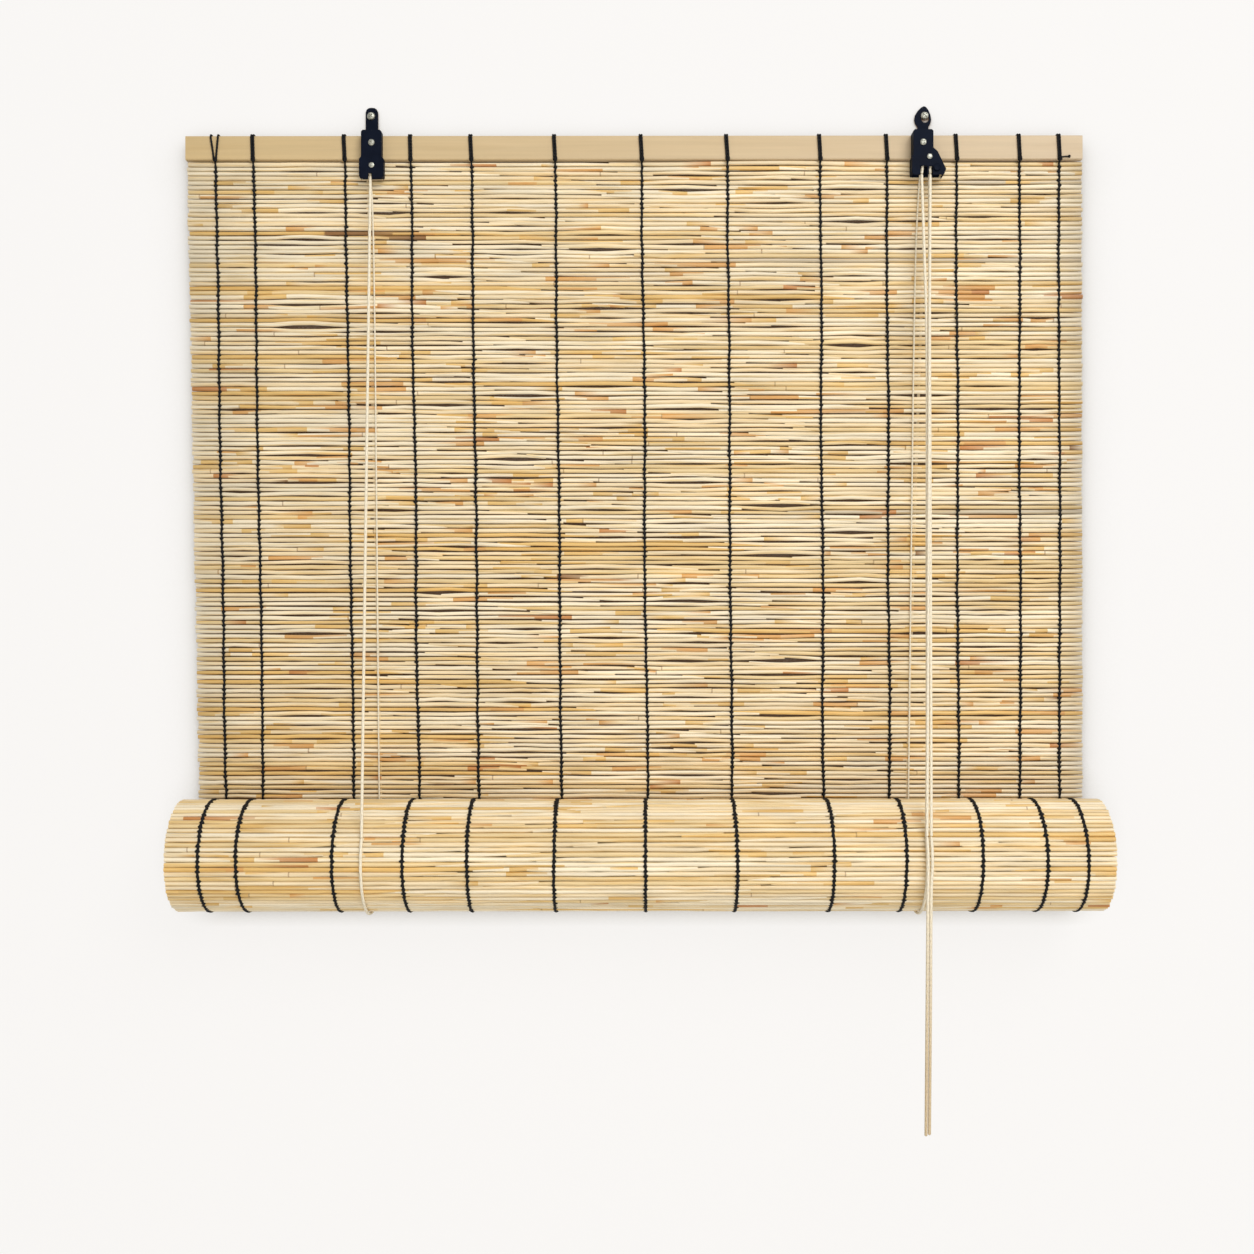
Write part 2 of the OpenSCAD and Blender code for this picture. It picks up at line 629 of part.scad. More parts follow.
module sling(x) {
    color(cream) translate([x, ay, az]) rotate([90, 0, 90]) rotate([0, 0, -180 - lead])
        rotate_extrude(angle = 180 + lead) translate([r_sling, 0]) circle(r = cord_r);
}

module left_sling() sling(sling_left);

module left_face_cord() color(cream) cord(left_face_route, face_r);

module cross_cord() color(cream) cord(cross_route, cord_r);

module right_lift_cord_front() color(cream) cord(right_front_route, cord_r);

module right_lift_cord_back() color(cream) cord(right_back_route, cord_r);

module right_sling() sling(sling_right);

module right_face_cord() color(cream) cord(right_face_route, face_r);

module right_lift_cord_head() color(cream) cord(lift_head_route, cord_r);

module pull_cord_a() color(cream) cord(pull_a_route, cord_r);

module pull_cord_b() color(cream) cord(pull_b_route, cord_r);

module pull_cord_a_tail() color(cream) cord(tail_a_route, cord_r);

module pull_cord_b_tail() color(cream) cord(tail_b_route, cord_r);

head_rail();
reed_mat();
rolled_mat();
bottom_batten();
rail_ties();
warp_thread(0);  // warp_thread_01
warp_thread(1);  // warp_thread_02
warp_thread(2);  // warp_thread_03
warp_thread(3);  // warp_thread_04
warp_thread(4);  // warp_thread_05
warp_thread(5);  // warp_thread_06
warp_thread(6);  // warp_thread_07
warp_thread(7);  // warp_thread_08
warp_thread(8);  // warp_thread_09
warp_thread(9);  // warp_thread_10
warp_thread(10);  // warp_thread_11
warp_thread(11);  // warp_thread_12
warp_thread(12);  // warp_thread_13
roll_warp_threads();
left_bracket();
left_cheek();
left_collar();
left_pulley();
left_axle_rivet();
left_rail_screw();
left_wall_screw();
right_bracket();
right_cheek();
right_collar();
right_pulley_front();
right_pulley_rear();
right_axle_rivet();
right_rail_screw();
right_wall_screw();
lock_pin();
lock_roller();
cord_staples();
left_lift_cord_front();
left_lift_cord_back();
left_sling();
left_face_cord();
cross_cord();
right_lift_cord_front();
right_lift_cord_back();
right_sling();
right_face_cord();
right_lift_cord_head();
pull_cord_a();
pull_cord_b();
pull_cord_a_tail();
pull_cord_b_tail();
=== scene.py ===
import json
import math

import bpy
import numpy as np
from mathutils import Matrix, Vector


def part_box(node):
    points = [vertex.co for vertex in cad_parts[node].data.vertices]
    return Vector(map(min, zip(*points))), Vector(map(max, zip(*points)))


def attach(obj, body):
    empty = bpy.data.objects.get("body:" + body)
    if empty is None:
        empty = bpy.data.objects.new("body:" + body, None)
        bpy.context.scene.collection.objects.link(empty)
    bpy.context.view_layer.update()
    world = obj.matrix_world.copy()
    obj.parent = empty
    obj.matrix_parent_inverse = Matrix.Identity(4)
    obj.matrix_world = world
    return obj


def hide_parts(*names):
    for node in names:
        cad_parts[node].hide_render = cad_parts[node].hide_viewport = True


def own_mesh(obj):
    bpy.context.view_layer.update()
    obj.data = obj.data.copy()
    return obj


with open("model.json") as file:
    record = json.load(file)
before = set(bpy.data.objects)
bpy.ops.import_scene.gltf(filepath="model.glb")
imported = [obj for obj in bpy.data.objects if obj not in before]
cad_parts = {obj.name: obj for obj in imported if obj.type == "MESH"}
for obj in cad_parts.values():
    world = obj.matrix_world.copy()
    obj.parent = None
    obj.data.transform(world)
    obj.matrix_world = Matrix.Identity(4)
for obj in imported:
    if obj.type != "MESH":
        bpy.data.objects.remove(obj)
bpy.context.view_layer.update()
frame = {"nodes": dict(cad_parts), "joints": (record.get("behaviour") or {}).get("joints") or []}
nodes = frame["nodes"]
joints = {joint["name"]: joint for joint in frame["joints"]}
mm = 0.001
chance = np.random.default_rng(41)

# What the whole blind shares, read from the frame
railLow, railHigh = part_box("head_rail")
matLow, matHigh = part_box("reed_mat")
rollLow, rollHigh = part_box("rolled_mat")
axisY, axisZ = joints["roll_turn"]["pos_m"][1:]
warpNames = [f"warp_thread_{i:02d}" for i in range(1, 14)]


def pieceName(node):
    return node.title().replace("_", "")


def deselect():
    if bpy.context.object and bpy.context.object.mode != "OBJECT":
        bpy.ops.object.mode_set(mode="OBJECT")
    bpy.ops.object.select_all(action="DESELECT")


def activate(*objs):
    deselect()
    for obj in objs:
        obj.select_set(True)
    bpy.context.view_layer.objects.active = objs[0]


def srgb(red, green, blue):
    parts = [c / 255 for c in (red, green, blue)]
    return tuple(c / 12.92 if c < 0.04045 else ((c + 0.055) / 1.055) ** 2.4 for c in parts) + (1.0,)


# Camera
shot = {
    "place": (-8.3 * mm, -1464 * mm, -517 * mm),
    "lens": 41.5,
    "sensor": 36,
    "shiftX": -0.0104,
    "tilt": 0.05,
    "nearest": 0.01,
}
deselect()
bpy.ops.object.camera_add(location=shot["place"], rotation=(math.pi / 2, math.radians(shot["tilt"]), 0))
camera = bpy.context.object
camera.name = "photoCamera"
camera.data.lens = shot["lens"]
camera.data.sensor_width = shot["sensor"]
camera.data.shift_x = shot["shiftX"]
camera.data.clip_start = shot["nearest"]
bpy.context.scene.camera = camera
bpy.context.scene.view_settings.view_transform = "Standard"
print("camera set")


# Stage
stageLook = {
    "wallBehind": 0.6 * mm,
    "wallSize": (3.4, 2.6),
    "floorLevel": -1.22,
    "floorSize": 4,
    "floorColour": srgb(240, 239, 236),
    "floorRoughness": 0.9,
    "selfLit": 0.9,
    "shadowReach": 0.05,
    "shadowFrom": (0, -0.9, 0.42),  # more from above
    "shadowSamples": 8,
    "roomColour": (1.0, 0.985, 0.955, 1),
    "ambient": 0.48,
    "lightAim": (0, 0, -0.45),
}
# The wall's painted shade and painted shadow, set by how open a place is: darkest behind the mat, a warm
# brown in its gaps, a soft grey beside the blind and the wall's own colour clear of it
wallShades = (
    (0.2, srgb(58, 40, 26)),
    (0.42, srgb(118, 97, 78)),
    (0.72, srgb(224, 221, 216)),
    (0.97, srgb(249, 247, 245)),
)
lamps = {
    "keyLight": {"place": (1.5, -3.05, 1.8), "size": 2.6, "power": 106, "colour": (1, 1, 1)},
    "lowFill": {"place": (0.0, -1.7, -0.9), "size": 0.9, "power": 4.5, "colour": (1.0, 0.94, 0.83)},
}


def nodeOf(tree, kind, sockets, output=0, **settings):
    # Makes a node with its settings, puts a value or a link in each named socket, and gives one output
    made = tree.nodes.new(kind)
    for name, value in settings.items():
        setattr(made, name, value)
    for name, value in sockets.items():
        if isinstance(value, bpy.types.NodeSocket):
            tree.links.new(value, made.inputs[name])
        else:
            made.inputs[name].default_value = value
    return made.outputs[output]


def ramp(tree, value, *stops):
    made = tree.nodes.new("ShaderNodeValToRGB")
    bands = made.color_ramp.elements
    while len(bands) < len(stops):
        bands.new(0.5)
    for band, (place, colour) in zip(bands, stops):
        band.position = place
        band.color = colour
    tree.links.new(value, made.inputs["Fac"])
    return made.outputs["Color"]


def wallFinish():
    # Seen from the room's side only, letting light through to the back of the blind, and mostly bright by
    # itself so that the blind's shadow stays a soft edge close to it; that shadow is painted into the wall's
    # colour
    mat = bpy.data.materials.new("wallPaint")
    mat.use_nodes = True
    tree = mat.node_tree
    tree.nodes.remove(tree.nodes["Principled BSDF"])
    above = nodeOf(tree, "ShaderNodeCombineXYZ", dict(zip("XYZ", stageLook["shadowFrom"])))
    reach = {"Distance": stageLook["shadowReach"], "Normal": above}
    close = nodeOf(tree, "ShaderNodeAmbientOcclusion", reach, "AO", samples=stageLook["shadowSamples"])
    # painted shadow: ambient occlusion darkens the wall's colour near the blind, and the glow shows it
    # whatever the lamps do
    shade = ramp(tree, close, *wallShades)
    paint = nodeOf(tree, "ShaderNodeBsdfDiffuse", {"Color": shade})
    glow = nodeOf(tree, "ShaderNodeEmission", {"Color": shade})
    lit = nodeOf(tree, "ShaderNodeMixShader", {0: stageLook["selfLit"], 1: paint, 2: glow})
    path = tree.nodes.new("ShaderNodeLightPath").outputs
    rays = {0: path["Is Camera Ray"], 1: path["Is Glossy Ray"]}
    seen = nodeOf(tree, "ShaderNodeMath", rays, operation="MAXIMUM")
    back = nodeOf(tree, "ShaderNodeNewGeometry", {}, "Backfacing")
    front = nodeOf(tree, "ShaderNodeMath", {0: seen, 1: back}, operation="SUBTRACT", use_clamp=True)
    clear = nodeOf(tree, "ShaderNodeBsdfTransparent", {})
    blend = nodeOf(tree, "ShaderNodeMixShader", {0: front, 1: clear, 2: lit})
    tree.links.new(blend, tree.nodes["Material Output"].inputs["Surface"])
    return mat


deselect()
width, height = stageLook["wallSize"]
bpy.ops.mesh.primitive_plane_add(size=1, rotation=(math.pi / 2, 0, 0))
wall = bpy.context.object
wall.name = "wallBackdrop"
wall.scale = (width, height, 1)
wall.location = (0, stageLook["wallBehind"], stageLook["floorLevel"] + height / 2)
wall.data.materials.append(wallFinish())
deselect()
bpy.ops.mesh.primitive_plane_add(size=stageLook["floorSize"], location=(0, 0, stageLook["floorLevel"]))
floor = bpy.context.object
floor.name = "paleFloor"
floorPaint = bpy.data.materials.new("floorPaint")
floorPaint.use_nodes = True
floorShader = floorPaint.node_tree.nodes["Principled BSDF"]
floorShader.inputs["Base Color"].default_value = stageLook["floorColour"]
floorShader.inputs["Roughness"].default_value = stageLook["floorRoughness"]
floor.data.materials.append(floorPaint)

world = bpy.data.worlds.new("softRoom")
bpy.context.scene.world = world
world.use_nodes = True
sky = world.node_tree
toCamera = nodeOf(sky, "ShaderNodeLightPath", {}, "Is Camera Ray")
levels = {"Value": toCamera, "To Min": stageLook["ambient"], "To Max": 1.0}
strength = nodeOf(sky, "ShaderNodeMapRange", levels, "Result")
sky.links.new(strength, sky.nodes["Background"].inputs["Strength"])
sky.nodes["Background"].inputs["Color"].default_value = stageLook["roomColour"]
for name, look in lamps.items():
    deselect()
    bpy.ops.object.light_add(type="AREA", location=look["place"])
    lamp = bpy.context.object
    lamp.name = name
    lamp.data.shape = "SQUARE"
    lamp.data.size = look["size"]
    lamp.data.energy = look["power"]
    lamp.data.color = look["colour"]
    x, y, z = np.array(stageLook["lightAim"]) - np.array(look["place"])
    lamp.rotation_euler = (math.atan2(math.hypot(x, y), -z), 0, math.atan2(-x, y))
print("stage set")


# Finishes
def finish(name, roughness, metallic=0.0, specular=0.5):
    mat = bpy.data.materials.new(name)
    mat.use_nodes = True
    shader = mat.node_tree.nodes["Principled BSDF"]
    shader.inputs["Roughness"].default_value = roughness
    shader.inputs["Metallic"].default_value = metallic
    shader.inputs["Specular IOR Level"].default_value = specular
    return mat, mat.node_tree, shader, nodeOf(mat.node_tree, "ShaderNodeTexCoord", {}, "Object")


def noiseOn(tree, place, scale, detail, roughness=0.55):
    stretched = nodeOf(tree, "ShaderNodeMapping", {"Vector": place, "Scale": scale})
    sockets = {"Vector": stretched, "Scale": 1.0, "Detail": detail, "Roughness": roughness}
    return nodeOf(tree, "ShaderNodeTexNoise", sockets, "Fac")


def between(tree, value, low, high, start=0.3, end=0.7):
    # Takes a value that runs from start to end, and makes it run from low to high
    sockets = {"Value": value, "From Min": start, "From Max": end, "To Min": low, "To Max": high}
    return nodeOf(tree, "ShaderNodeMapRange", sockets, "Result")


def scaled(tree, colour, factor):
    return nodeOf(tree, "ShaderNodeVectorMath", {0: colour, "Scale": factor}, "Vector", operation="SCALE")


def mixed(tree, share, first, second, way="MIX"):
    sockets = {"Factor": share, "A": first, "B": second}
    return nodeOf(tree, "ShaderNodeMix", sockets, "Result", data_type="RGBA", blend_type=way)


def partOf(tree, place, axis):
    return nodeOf(tree, "ShaderNodeSeparateXYZ", {0: place}, axis)


def twistOf(tree, around, along):
    # Bands that wind round a swept piece, from its own map: u runs round it and v along it
    place = nodeOf(tree, "ShaderNodeTexCoord", {}, "UV")
    turns = (around * 2 * math.pi, along * 2 * math.pi, 0)
    turn = nodeOf(tree, "ShaderNodeVectorMath", {0: place, 1: turns}, "Value", operation="DOT_PRODUCT")
    return nodeOf(tree, "ShaderNodeMath", {0: turn}, operation="SINE")


def bumpOn(tree, shader, height, strength, distance):
    sockets = {"Height": height, "Strength": strength, "Distance": distance}
    tree.links.new(nodeOf(tree, "ShaderNodeBump", sockets, "Normal"), shader.inputs["Normal"])


# In each surface a noise is its scale along X, Y and Z, its detail and, where given, its roughness, and a
# bump is its strength and depth
reedSurface = {
    "roughness": 0.42,
    "fibre": ((7, 1100, 1100), 5),
    "fibreTone": (0.87, 1.08),
    "stain": ((16, 60, 60), 3),
    "stainTone": (0.9, 1.07),
    "sliver": ((13, 420, 420), 2),
    "sliverAmount": (0.0, 0.85, 0.5, 0.66),
    "sliverTint": (0.93, 0.8, 0.55, 1),
    "bump": (0.25, 0.15 * mm),
}


def reedFinish(look):
    mat, tree, shader, place = finish("reedStraw", look["roughness"])
    tint = nodeOf(tree, "ShaderNodeAttribute", {}, "Color", attribute_name="reedColour")
    fibre, stain, sliver = (noiseOn(tree, place, *look[noise]) for noise in ("fibre", "stain", "sliver"))
    streaked = scaled(tree, tint, between(tree, fibre, *look["fibreTone"]))
    shade = scaled(tree, streaked, between(tree, stain, *look["stainTone"]))
    amount = between(tree, sliver, *look["sliverAmount"])
    golden = mixed(tree, amount, shade, look["sliverTint"], "MULTIPLY")
    tree.links.new(golden, shader.inputs["Base Color"])
    bumpOn(tree, shader, fibre, *look["bump"])
    return mat


# The rail's wood is yellower at its left end and paler at its right end; the paler right end is partly the
# wood's own tone and partly painted light, as the light falls from the right
woodSurface = {
    "roughness": 0.55,
    "specular": 0.35,
    "grain": ((5, 260, 190), 6, 0.6),
    "grainTone": (0.93, 1.05),
    "figure": ((2.6, 42, 30), 3),
    "places": (0.3, 0.52, 0.72),
    "leftEnd": (srgb(200, 173, 125), srgb(204, 178, 131), srgb(194, 165, 116)),
    # partly painted light: the right end's colours are lighter where the light falls from the right
    "rightEnd": (srgb(203, 181, 149), srgb(207, 186, 156), srgb(197, 173, 139)),
    "bump": (0.2, 0.2 * mm),
}


def woodFinish(look):
    mat, tree, shader, place = finish("planedWood", look["roughness"], specular=look["specular"])
    grain = noiseOn(tree, place, *look["grain"])
    figure = noiseOn(tree, place, *look["figure"])
    ends = (ramp(tree, figure, *zip(look["places"], look[end])) for end in ("leftEnd", "rightEnd"))
    along = between(tree, partOf(tree, place, "X"), 0.0, 1.0, railLow.x, railHigh.x)
    shade = scaled(tree, mixed(tree, along, *ends), between(tree, grain, *look["grainTone"]))
    tree.links.new(shade, shader.inputs["Base Color"])
    bumpOn(tree, shader, grain, *look["bump"])
    return mat


twineSurface = {
    "roughness": 0.78,
    "specular": 0.25,
    "fluff": ((900, 900, 900), 3),
    "tones": ((0.3, (0.003, 0.003, 0.004, 1)), (0.72, (0.010, 0.010, 0.011, 1))),
    "ply": (2, 1),
    "bump": (0.5, 0.25 * mm),
}


def twineFinish(look):
    mat, tree, shader, place = finish("blackTwine", look["roughness"], specular=look["specular"])
    fluff = noiseOn(tree, place, *look["fluff"])
    tree.links.new(ramp(tree, fluff, *look["tones"]), shader.inputs["Base Color"])
    bumpOn(tree, shader, twistOf(tree, *look["ply"]), *look["bump"])
    return mat


cottonSurface = {
    "roughness": 0.82,
    "specular": 0.2,
    "fuzz": ((1500, 1500, 600), 3),
    "tones": ((0.3, srgb(236, 222, 192)), (0.7, srgb(252, 244, 226))),
    "strands": ((4, 0.9), (-4, 0.9)),
    # painted shade: the cord's colour is darker in the grooves between its strands
    "strandTone": (0.8, 1.0, -0.6, 1.0),
    "bump": (0.5, 0.2 * mm),
}
# The tails are darker further down
tailDarkening = {"start": axisZ - 30 * mm, "full": axisZ - 190 * mm, "tint": (0.74, 0.65, 0.53, 1)}


def cottonFinish(name, look, darkening=None):
    mat, tree, shader, place = finish(name, look["roughness"], specular=look["specular"])
    ways = {number: twistOf(tree, *way) for number, way in enumerate(look["strands"])}
    braid = nodeOf(tree, "ShaderNodeMath", ways, operation="MAXIMUM")
    colour = ramp(tree, noiseOn(tree, place, *look["fuzz"]), *look["tones"])
    # painted shade in the grooves between the strands
    shade = scaled(tree, colour, between(tree, braid, *look["strandTone"]))
    if darkening:
        amount = between(tree, partOf(tree, place, "Z"), 1.0, 0.0, darkening["full"], darkening["start"])
        shade = mixed(tree, amount, shade, darkening["tint"], "MULTIPLY")
    tree.links.new(shade, shader.inputs["Base Color"])
    bumpOn(tree, shader, braid, *look["bump"])
    return mat


# A cloud moves the colour between two tones, and the roughness where its two values differ
smoothSurfaces = {
    "blackPaintedSteel": {
        "metallic": 0.0,
        "specular": 0.06,
        "roughness": (0.5, 0.62),
        "cloud": ((60, 60, 60), 3),
        "tones": ((0.3, (0.0025, 0.0045, 0.012, 1)), (0.7, (0.005, 0.0085, 0.02, 1))),
        "grain": ((700, 700, 700), 2),
        "bump": (0.12, 0.08 * mm),
    },
    "zincPlatedSteel": {
        "metallic": 1.0,
        "specular": 0.5,
        "roughness": (0.4, 0.55),
        "cloud": ((420, 420, 420), 4),
        "tones": ((0.3, srgb(158, 160, 148)), (0.7, srgb(206, 205, 194))),
    },
    "blackNylon": {
        "metallic": 0.0,
        "specular": 0.4,
        "roughness": (0.5, 0.5),
        "cloud": ((800, 800, 800), 2),
        "tones": ((0.3, (0.010, 0.010, 0.012, 1)), (0.7, (0.020, 0.020, 0.022, 1))),
        "grain": ((800, 800, 800), 2),
        "bump": (0.1, 0.05 * mm),
    },
}


def smoothFinish(name, look):
    low, high = look["roughness"]
    mat, tree, shader, place = finish(name, low, look["metallic"], look["specular"])
    cloud = noiseOn(tree, place, *look["cloud"])
    tree.links.new(ramp(tree, cloud, *look["tones"]), shader.inputs["Base Color"])
    if low < high:
        tree.links.new(between(tree, cloud, low, high), shader.inputs["Roughness"])
    if "grain" in look:
        bumpOn(tree, shader, noiseOn(tree, place, *look["grain"]), *look["bump"])
    return mat


reedStraw = reedFinish(reedSurface)
planedWood = woodFinish(woodSurface)
blackTwine = twineFinish(twineSurface)
cottonCord = cottonFinish("cottonCord", cottonSurface)
darkerTailCord = cottonFinish("handledCotton", cottonSurface, tailDarkening)
blackSteel, zincSteel, blackNylon = (smoothFinish(name, look) for name, look in smoothSurfaces.items())
print("finishes made")


def settle(obj, body, finishUsed, slot, *cadNodes):
    obj.data.materials.clear()
    obj.data.materials.append(finishUsed)
    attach(obj, body)
    if cadNodes:
        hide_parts(*cadNodes)
    return obj


# Swept pieces: cords and twine
def partway(t, t0, t1, p0, p1):
    return (t1 - t) / (t1 - t0) * p0 + (t - t0) / (t1 - t0) * p1


def alongRoute(points, step):
    # An even curve through the route's points
    route = np.array(points, float)
    ends = np.vstack([2 * route[0] - route[1], route, 2 * route[-1] - route[-2]])
    parts = []
    for p0, p1, p2, p3 in zip(ends, ends[1:], ends[2:], ends[3:]):
        gaps = [math.sqrt(np.linalg.norm(b - a)) for a, b in ((p0, p1), (p1, p2), (p2, p3))]
        t0, t1, t2, t3 = np.cumsum([0] + gaps)
        count = max(1, math.ceil(np.linalg.norm(p2 - p1) / step))
        t = np.linspace(t1, t2, count, endpoint=False)[:, None]
        a1, a2, a3 = partway(t, t0, t1, p0, p1), partway(t, t1, t2, p1, p2), partway(t, t2, t3, p2, p3)
        b1, b2 = partway(t, t0, t2, a1, a2), partway(t, t1, t3, a2, a3)
        parts.append(partway(t, t1, t2, b1, b2))
    return np.vstack(parts + [route[-1:]])


def runAlong(line):
    return np.concatenate([[0], np.cumsum(np.linalg.norm(np.diff(line, axis=0), axis=1))])


def sweep(name, line, wide, deep, sides, relief=None, startSide=(1, 0, 0)):
    # A closed tube along a line; wide is measured along startSide as it is carried down the line
    line = np.array(line, float)
    count = len(line)
    wide = np.broadcast_to(np.asarray(wide, float), count)
    deep = np.broadcast_to(np.asarray(deep, float), count)
    tangent = np.gradient(line, axis=0)
    tangent /= np.linalg.norm(tangent, axis=1)[:, None]
    run = runAlong(line)
    side = np.array(startSide, float)
    if abs(side @ tangent[0]) > 0.9:
        side = np.array((0.0, 0.0, 1.0))
    angle = np.arange(sides) * 2 * math.pi / sides
    verts = []
    for i in range(count):
        side = side - (side @ tangent[i]) * tangent[i]
        side /= np.linalg.norm(side)
        out = np.cross(tangent[i], side)
        swell = 1.0 if relief is None else relief(angle, run[i])[:, None]
        ring = np.cos(angle)[:, None] * side * wide[i] + np.sin(angle)[:, None] * out * deep[i]
        verts.append(line[i] + swell * ring)
    faces = [
        (i * sides + j, i * sides + k, (i + 1) * sides + k, (i + 1) * sides + j)
        for i in range(count - 1)
        for j, k in zip(range(sides), [*range(1, sides), 0])
    ]
    faces.append(tuple(reversed(range(sides))))
    faces.append(tuple(range((count - 1) * sides, count * sides)))
    mesh = bpy.data.meshes.new(name)
    mesh.from_pydata(np.vstack(verts).tolist(), [], faces)
    girth = 2 * math.pi * float(np.mean(wide))
    uvs = [
        ((j + across) / sides, run[i + along] / girth)
        for i in range(count - 1)
        for j in range(sides)
        for across, along in ((0, 0), (1, 0), (1, 1), (0, 1))
    ]
    uvs += [(0.0, 0.0)] * (2 * sides)
    mesh.uv_layers.new(name="alongTube").data.foreach_set("uv", np.array(uvs).ravel())
    mesh.shade_smooth()
    obj = bpy.data.objects.new(name, mesh)
    bpy.context.scene.collection.objects.link(obj)
    return obj


def joined(name, parts):
    activate(*parts)
    if len(parts) > 1:
        bpy.ops.object.join()
    made = bpy.context.object
    made.name = name
    made.data.name = name
    return made


# Cords
cordLook = {
    "thick": 3 * mm,
    "faceThick": 1.7 * mm,
    "step": 0.9 * mm,
    "sides": 12,
    "weave": 0.06,
    "plait": 5 * mm,
    "rounding": 0.4,  # of the thickness, at both ends
    "tip": 0.02,
}
left, right = -276 * mm, 274 * mm  # middles of the two brackets
railTop, railBottom = railHigh.z, railLow.z
railFront, railBack = railLow.y, railHigh.y
cheekFront = railFront - 1.2 * mm
leftLine, rearLine, frontLine = cheekFront - 3.2 * mm, cheekFront - 2.8 * mm, cheekFront - 8.2 * mm
matFront, matBack = matLow.y, matHigh.y
slingRadius, pullRadius = 55.8 * mm, 59.2 * mm
leadAngle = math.radians(25)
pullApart = 4 * mm
slingLeft, slingRight = left + 7 * mm, right - 14.7 * mm
mouthLeft = (left - 1.3 * mm, leftLine - 1.2 * mm, railBottom - 18 * mm)
mouthLift = (right - 1.4 * mm, frontLine - 0.7 * mm, railBottom - 18 * mm)
mouthPullA = (right + 7.2 * mm, frontLine - 0.7 * mm, railBottom - 18 * mm)
mouthPullB = (right + 7.2 * mm, rearLine - 0.7 * mm, railBottom - 18 * mm)
axleLeft = (left + 0.4 * mm, railBottom - 8.2 * mm)
axleRight = (right + 6 * mm, railBottom - 1.5 * mm)
pulleyLine = 5 * mm


def onRoll(x, radius, angle):
    return (x, axisY - radius * math.cos(angle), axisZ + radius * math.sin(angle))


def roundAxle(axle, y, degrees):
    turns = [math.radians(d) for d in degrees]
    return [(axle[0] + pulleyLine * math.cos(a), y, axle[1] + pulleyLine * math.sin(a)) for a in turns]


def stepped(place, steps):
    # Points at steps from a place, the steps in millimetres
    return [tuple(part + step * mm for part, step in zip(place, point)) for point in steps]


def plaited(angle, run):
    turn = 2 * math.pi * run / cordLook["plait"]
    return 1 - cordLook["weave"] + cordLook["weave"] * np.cos(3 * angle + turn) * np.cos(3 * angle - turn)


def layCord(node, route, body="head", cotton=cottonCord, thick=cordLook["thick"], swell=None, ending=""):
    line = alongRoute(route, cordLook["step"])
    size = np.full(len(line), thick / 2)
    run = runAlong(line)
    for near in (run, run[-1] - run):
        inner = np.clip(near / (thick * cordLook["rounding"]), cordLook["tip"], 1)
        size *= np.sqrt(1 - (1 - inner) ** 2)
    if swell is not None:
        size *= swell(line)
    tube = sweep(pieceName(node) + ending, line, size, size, cordLook["sides"], plaited)
    return settle(tube, body, cotton, "cord", node)


def hang(obj):
    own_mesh(obj)


def bowed(top, end, bends):
    # From top to end, leaving the straight line a little at shares of its length
    top, end = np.array(top), np.array(end)
    middle = [top + share * (end - top) + np.array((dx, dy, 0)) * mm for share, dx, dy in bends]
    return [top, *middle, end]


slingEndZ = axisZ + slingRadius * math.sin(leadAngle)
pullEndZ = axisZ + pullRadius * math.sin(leadAngle)
frontStrands = {
    "left_lift_cord_front": (mouthLeft, onRoll(slingLeft, slingRadius, leadAngle), slingEndZ),
    "right_lift_cord_front": (mouthLift, onRoll(slingRight, slingRadius, leadAngle), slingEndZ),
    "pull_cord_a": (mouthPullA, onRoll(slingRight, pullRadius, leadAngle), pullEndZ),
    "pull_cord_b": (mouthPullB, onRoll(slingRight + pullApart, pullRadius, leadAngle), pullEndZ),
}
frontBends = {"right_lift_cord_front": [(0.12, 2.2, 1), (0.25, 4.2, 2), (0.6, 2.8, 1.6), (0.9, 1.2, 0.5)]}
for name, (top, end, endZ) in frontStrands.items():
    route = bowed(top, end, frontBends.get(name, []))
    piece = layCord(name, route)
    hang(piece)

tailDrop, tailBend = 252.6 * mm, 20 * mm
leadSteps = [math.radians(a) for a in (25, 16, 8, 0)]
tails = {
    "pull_cord_a_tail": (slingRight, -0.2 * mm, -2.3 * mm, tailDrop),
    "pull_cord_b_tail": (slingRight + pullApart, -1.0 * mm, -3.1 * mm, tailDrop - 1 * mm),
}
for name, (x, lean, sway, drop) in tails.items():
    route = [onRoll(x, pullRadius, a) for a in leadSteps]
    route += [
        (x + lean, axisY - pullRadius, axisZ - tailBend),
        (x + (lean + sway) / 2, axisY - pullRadius, axisZ - (tailBend + drop) / 2),
        (x + sway, axisY - pullRadius, axisZ - drop),
    ]
    piece = layCord(name, route, "lift_slings", darkerTailCord)
    line = alongRoute(route, cordLook["step"])

slingTurns = np.radians(np.linspace(25, -180, 42))  # from the front, under the roll, to the back
for name, x in {"left_sling": slingLeft, "right_sling": slingRight}.items():
    layCord(name, [onRoll(x, slingRadius, a) for a in slingTurns], "lift_slings")

# The strands behind the mat, held by a staple and a knot on the back of the rail
backStrands = {
    "left_lift_cord_back": (left, -1, slingLeft, left),
    "right_lift_cord_back": (right, 1, slingRight, right - 4 * mm),
}
backLook = {
    "top": 16 * mm,
    "halfway": 0.536,
    "staple": ((1.7, -16), (1.9, -11.6), (2.9, -10.6), (3, -7)),  # mm from the rail's back and from its top
    "knotBelow": 9 * mm,
    "knotHigh": 1.9 * mm,
    "knotSwell": 0.8,
}
backY = axisY + slingRadius
strandTop = railBottom - backLook["top"]


def knot(line):
    height = (line[:, 2] - (railTop - backLook["knotBelow"])) / backLook["knotHigh"]
    return 1 + backLook["knotSwell"] * np.exp(-(height**2))


